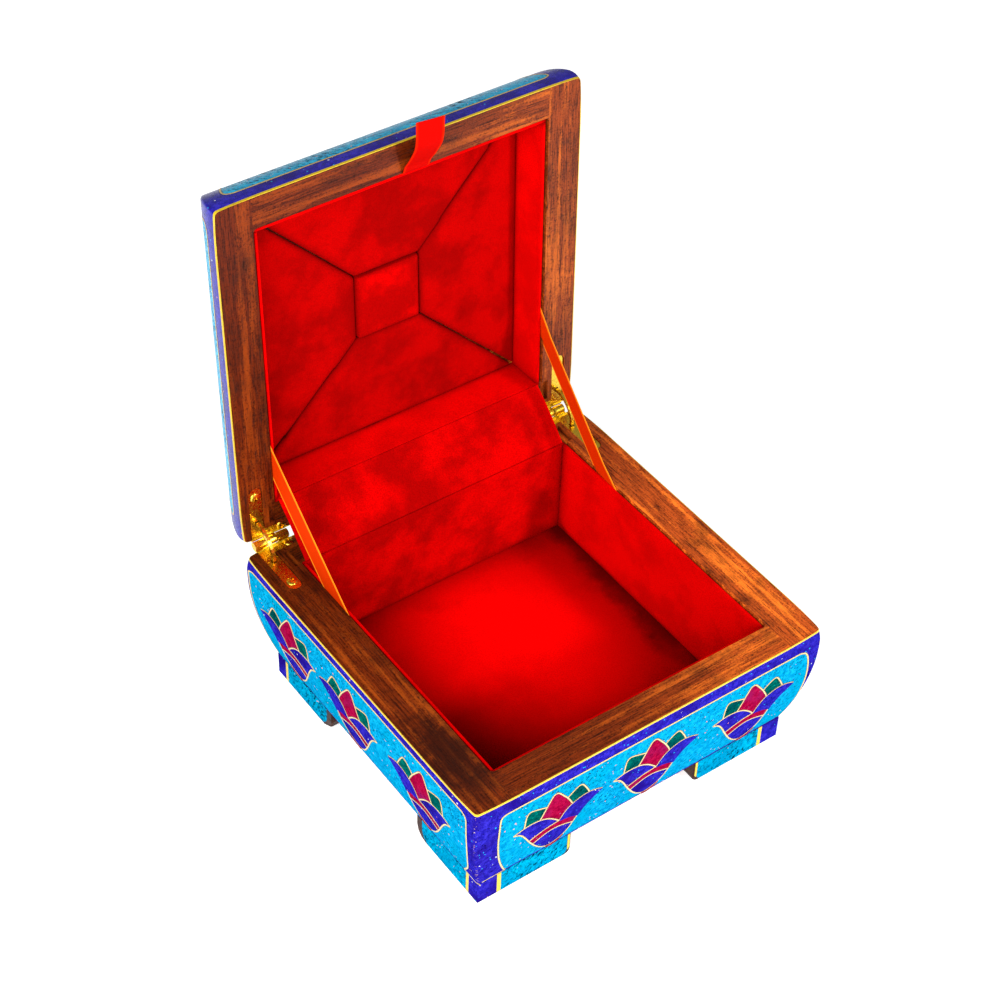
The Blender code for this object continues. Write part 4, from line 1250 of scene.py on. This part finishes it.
def mark_seams(item, values):
    """Keep at each point how near it is to a seam, 0 to 1."""
    seam = item.data.attributes.new("seam", "FLOAT", "POINT")
    seam.data.foreach_set("value", values)


def card(node, home, thin, inward):
    """A covered card: thin is the axis across it, inward the side that shows."""
    low, high = extent(node, home)
    middle, size = (low + high) / 2, high - low
    pick()
    bpy.ops.mesh.primitive_cube_add(size=1, location=middle, scale=size)
    block = bpy.context.object
    bpy.ops.object.transform_apply(location=True, rotation=True, scale=True)
    edit(block)
    bpy.ops.mesh.subdivide(number_cuts=15)
    bpy.ops.object.mode_set(mode="OBJECT")
    modified(block, "BEVEL", width=CARD_EDGE, segments=3, limit_method="ANGLE")
    others = [axis for axis in range(3) if axis != thin]
    seams = []
    for vertex in block.data.vertices:
        offset = vertex.co - middle
        gaps = [size[axis] / 2 - abs(offset[axis]) for axis in others if axis != 2]
        gaps.append(high.z - vertex.co.z if node.startswith("lid") else vertex.co.z - low.z)
        seams.append(max(0.0, 1 - min(gaps) / SEAM_REACH) if thin != 2 else 0.0)
        if offset[thin] * inward > 0:
            shares = [2 * offset[axis] / size[axis] for axis in others]
            swell = (1 - shares[0] ** 4) * (1 - shares[1] ** 4)
            wave = noise.noise(vertex.co * 55)
            vertex.co[thin] += inward * swell * (CARD_SWELL + CARD_WAVE * wave)
    mark_seams(block, seams)
    return smooth(block, 60)


for node, (body, thin, inward) in CARDS.items():
    home = SWING_SHUT if body == "lid" else Matrix.Identity(4)
    covered = card(node, home, thin, inward)
    pile = {"case_floor_lining": LIT_FLOOR_VELVET, "case_lining_back": SHADED_VELVET}.get(node, VELVET)
    placed(covered, f"velvet_{node}", home.inverted(), pile, body)
    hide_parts(node)
print("Covered cards:", len(CARDS))

# %% [markdown]
# ### The padded lid panels
# Four panels slope up to a raised square, each card padded with a little wadding. Wadding pushes
# its cover out evenly and the stitched edge holds it back, which is what cloth simulation does
# with a slight inner pressure. The seams between panels stay as narrow valleys.

# %% Pad the lid panels
PAD_VOXEL = 1.1 * MM
BACKING_DEPTH = 0.8 * MM
SWELL_CAP = 0.9 * MM


def seam_distance(point, sides):
    """How far a point of the plan is from the nearest straight side."""
    return min((point - intersect_point_line(point, first, second)[0]).length for first, second in sides)


def padded_panel(node):
    """A padded form of one lid panel, modelled in the shut lid's frame."""
    pick()
    panel = own_copy(nodes[node])
    for key in list(panel.keys()):
        del panel[key]
    panel.parent = None
    panel.matrix_world = SWING_SHUT
    pick(panel)
    bpy.ops.object.transform_apply(location=True, rotation=True, scale=True)
    edit(panel)
    bpy.ops.mesh.remove_doubles(threshold=0.01 * MM)
    bpy.ops.mesh.tris_convert_to_quads()
    bpy.ops.object.mode_set(mode="OBJECT")
    modified(panel, "REMESH", mode="VOXEL", voxel_size=PAD_VOXEL, adaptivity=0)
    start = [vertex.co.copy() for vertex in panel.data.vertices]
    roof = max(point.z for point in start)
    backing = panel.vertex_groups.new(name="backing")
    backing.add([i for i, point in enumerate(start) if point.z > roof - BACKING_DEPTH], 1.0, "REPLACE")
    cloth = panel.modifiers.new("wadding", "CLOTH")
    cloth.settings.vertex_group_mass = "backing"
    cloth.settings.use_pressure = True
    cloth.settings.uniform_pressure_force = 4
    cloth.settings.effector_weights.gravity = 0
    cloth.settings.quality = 5
    for number in range(1, 16):
        bpy.context.scene.frame_set(number)
    pick(panel)
    bpy.ops.object.modifier_apply(modifier=cloth.name)
    bpy.context.scene.frame_set(1)
    for vertex, before in zip(panel.data.vertices, start):
        swell = max(-SWELL_CAP, min(SWELL_CAP, vertex.co.z - before.z))
        vertex.co = (before.x, before.y, before.z + swell)
    panel.vertex_groups.clear()
    modified(panel, "SMOOTH", factor=0.5, iterations=3)
    modified(panel, "SUBSURF", levels=1, render_levels=1)
    corners = [point.to_2d() for point in start]
    outline = [corners[index] for index in convex_hull_2d(corners)]
    sides = list(zip(outline, outline[1:] + outline[:1]))
    gaps = [seam_distance(vertex.co.to_2d(), sides) for vertex in panel.data.vertices]
    mark_seams(panel, [max(0.0, 1 - gap / SEAM_REACH) for gap in gaps])
    return smooth(panel, 60)


for side in ("front", "back", "left", "right", "centre"):
    node = f"lid_pad_{side}"
    panel = padded_panel(node)
    pile = SHADED_VELVET if side == "centre" else SHADED_PAD_VELVET
    placed(panel, f"padded_{node}", SWING_OPEN, pile, "lid")
    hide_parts(node)
    print(panel.name, len(panel.data.polygons), "faces")

# %% [markdown]
# ## Cloth between the halves
# The velvet flap over the hinge line, the two ribbon stays and the pull tab are flat cloth. Each is
# a grid laid along its own line, so its weave can follow its length, and then given the thickness
# of the cloth. The right stay is turned a little, so it looks narrower than the left one.

# %% Lay strips of cloth
def cloth_strip(path, width, wide, thickness, columns=4):
    """A strip along a path of points; wide is the direction across it at each of them."""
    shares = [column / columns - 0.5 for column in range(columns + 1)]
    rows = [[point + across * width * share for share in shares] for point, across in zip(path, wide)]
    return smooth(modified(grid(rows), "SOLIDIFY", thickness=thickness, offset=0), 60)


def ends_of(node):
    """The middles of the two ends of a flat measured strip, the lower one first."""
    corners = {tuple(round(part, 6) for part in vertex.co) for vertex in nodes[node].data.vertices}
    points = sorted(corners, key=lambda corner: corner[2])
    half = len(points) // 2
    ends = points[:half], points[half:]
    return [sum((Vector(point) for point in end), Vector()) / len(end) for end in ends]


def path_length(path):
    """The length along a path of points."""
    return sum((b - a).length for a, b in zip(path, path[1:]))


print("Strips can be laid")

# %% The two stays
STAY_WIDTH = 12.7 * MM
STAY_STEPS = 36
TURN_STEPS = 6
RIBBON_THICKNESS = 0.3 * MM
LID_UP = SWING_OPEN.to_3x3() @ Vector((0, -1, 0))
STAY_HEAD_SHIFT = {"left": 0.0, "right": 5.0 * MM}
STAY_TURN = {"left": 0.0, "right": math.radians(-8.5)}
for hand in ("left", "right"):
    foot_end, head_end = ends_of(f"stay_ribbon_{hand}")
    head_end = head_end + LID_UP * STAY_HEAD_SHIFT[hand]
    along = (head_end - foot_end).normalized()
    across = Vector((1, 0, 0)).cross(along).normalized()
    path, wide = [], []
    for step in range(STAY_STEPS + 1):
        turn = STAY_TURN[hand] * min(1, step / TURN_STEPS, (STAY_STEPS - step) / TURN_STEPS)
        path.append(foot_end.lerp(head_end, step / STAY_STEPS))
        wide.append(Matrix.Rotation(turn, 3, along) @ across)
    stay = cloth_strip(path, STAY_WIDTH, wide, RIBBON_THICKNESS)
    stay.name = f"ribbon_stay_{hand}"
    stay.data.materials.clear()
    stay.data.materials.append(STAY_RIBBON)
    path_length(path)
    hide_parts(f"stay_ribbon_{hand}")
    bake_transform(stay)
    print(stay.name, round(path_length(path) / MM, 1), "mm long")

# %% The flap over the hinge line
flap_low, flap_high = extent("hinge_flap")
flap_foot, flap_head = ends_of("hinge_flap")
FLAP_WIDTH = flap_high.x - flap_low.x
FLAP_THICKNESS = 0.5 * MM
FLAP_BULGE = 0.5 * MM
FLAP_STEPS = 20
sideways = Vector((1, 0, 0))
flap_out = sideways.cross(flap_head - flap_foot).normalized()
path = []
for step in range(FLAP_STEPS + 1):
    share = step / FLAP_STEPS
    path.append(flap_foot.lerp(flap_head, share) + flap_out * FLAP_BULGE * math.sin(math.pi * share))
flap = cloth_strip(path, FLAP_WIDTH, [sideways] * len(path), FLAP_THICKNESS, columns=24)
flap.name = "velvet_flap"
flap.data.materials.clear()
flap.data.materials.append(SHADED_VELVET)
path_length(path)
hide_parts("hinge_flap")
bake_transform(flap)
print("Flap", round(FLAP_WIDTH / MM, 1), "x", round(path_length(path) / MM, 1), "mm")

# %% [markdown]
# ### The pull tab
# A short length of the same ribbon is tucked behind the front band and curls up over the rim, so
# that a finger can lift the lid. It leans and twists a little, as handled ribbon does. The line
# below gives, in millimetres from where it leaves the lining, how far forward each point lies and
# how far off the lid.

# %% The pull tab
TAB_LINE = (
    (0, -6), (0, 0), (4.2, 2.1), (8.1, 4.9), (12.1, 7.4), (15.9, 9.4), (20.0, 10.3), (24.3, 10.4),
    (28.6, 10.4),
)
TAB_LEAN = 1.0
TAB_TWIST = math.radians(8)
TAB_ASIDE, TAB_AHEAD, TAB_TUCKED = 0.4 * MM, 0.2 * MM, 6 * MM
tab_low, tab_high = extent("pull_tab", SWING_SHUT)
tab_middle = (tab_low.x + tab_high.x) / 2
tab_root = Vector((tab_middle - TAB_ASIDE, tab_high.y - TAB_AHEAD, tab_high.z - TAB_TUCKED))
path, wide = [], []
for ahead, off in rounded(TAB_LINE, 3):
    share = max(ahead, 0) / TAB_LINE[-1][0]
    path.append(tab_root + Vector((TAB_LEAN * share, -ahead, -off)) * MM)
    wide.append(Matrix.Rotation(TAB_TWIST * share, 3, "Y") @ sideways)
tab = cloth_strip(path, STAY_WIDTH, wide, RIBBON_THICKNESS)
placed(tab, "ribbon_pull_tab", SWING_OPEN, TAB_RIBBON, "lid")
path_length(path)
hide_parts("pull_tab")
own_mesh(tab)
print("Tab", round(path_length(path) / MM, 1), "mm of ribbon")

# %% [markdown]
# ## Screws
# Small brass screws with a domed head and a cross recess hold the hinges. One is modelled: half of
# a flattened ball for the head, two slots cut across its top, and a plain shank. Eight copies are
# set, each turned a little differently, as screws end up wherever they bite.

# %% Model one screw
HEAD_RADIUS, HEAD_RISE = 2.35 * MM, 0.75 * MM
MEASURED_RISE = 0.6 * MM
SLOT_SIZE = (2.1, 0.42, 0.8)
SHANK_RADIUS, SHANK_LENGTH, SHANK_MIDDLE = 0.9 * MM, 3.0 * MM, -1.45 * MM


def screw():
    """A round-head screw, its head above z = 0 and its shank below."""
    pick()
    bpy.ops.mesh.primitive_uv_sphere_add(segments=32, ring_count=16, radius=1)
    head = bpy.context.object
    edit(head)
    bpy.ops.mesh.bisect(plane_co=(0, 0, 0), plane_no=(0, 0, 1), clear_inner=True, use_fill=True)
    bpy.ops.object.mode_set(mode="OBJECT")
    head.scale = (HEAD_RADIUS, HEAD_RADIUS, HEAD_RISE)
    pick(head)
    bpy.ops.object.transform_apply(scale=True)
    for turn in (0, math.radians(90)):
        pick()
        bpy.ops.mesh.primitive_cube_add(size=MM, location=(0, 0, HEAD_RISE), rotation=(0, 0, turn))
        slot = bpy.context.object
        slot.scale = SLOT_SIZE
        pick(slot)
        bpy.ops.object.transform_apply(location=True, rotation=True, scale=True)
        modified(head, "BOOLEAN", object=slot, operation="DIFFERENCE", solver="EXACT")
        bpy.data.objects.remove(slot)
    pick()
    bpy.ops.mesh.primitive_cylinder_add(
        vertices=16, radius=SHANK_RADIUS, depth=SHANK_LENGTH, location=(0, 0, SHANK_MIDDLE),
    )
    shank = bpy.context.object
    bpy.ops.object.transform_apply(location=True)
    return smooth(joined([shank, head]), 35)


master = screw()
for hand, more in (("left", 31), ("right", 0)):
    for number in (1, 2, 3, 4):
        node = f"hinge_{hand}_screw_{number}"
        body = "lid" if number > 2 else "case"
        swing = SWING_OPEN if body == "lid" else Matrix.Identity(4)
        low, high = extent(node, swing.inverted())
        seat = (low + high) / 2
        seat.z = low.z + MEASURED_RISE if body == "lid" else high.z - MEASURED_RISE
        over = Matrix.Rotation(math.pi if body == "lid" else 0, 4, "X")
        spin = Matrix.Rotation(math.radians(25 + 53 * number + more), 4, "Z")
        copy = own_copy(master)
        place = swing @ Matrix.Translation(seat) @ over @ spin
        placed(copy, f"{hand}_hinge_screw_{number}", place, HINGE_BRASS, body)
        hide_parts(node)
bpy.data.objects.remove(master)
print("Eight screws set")
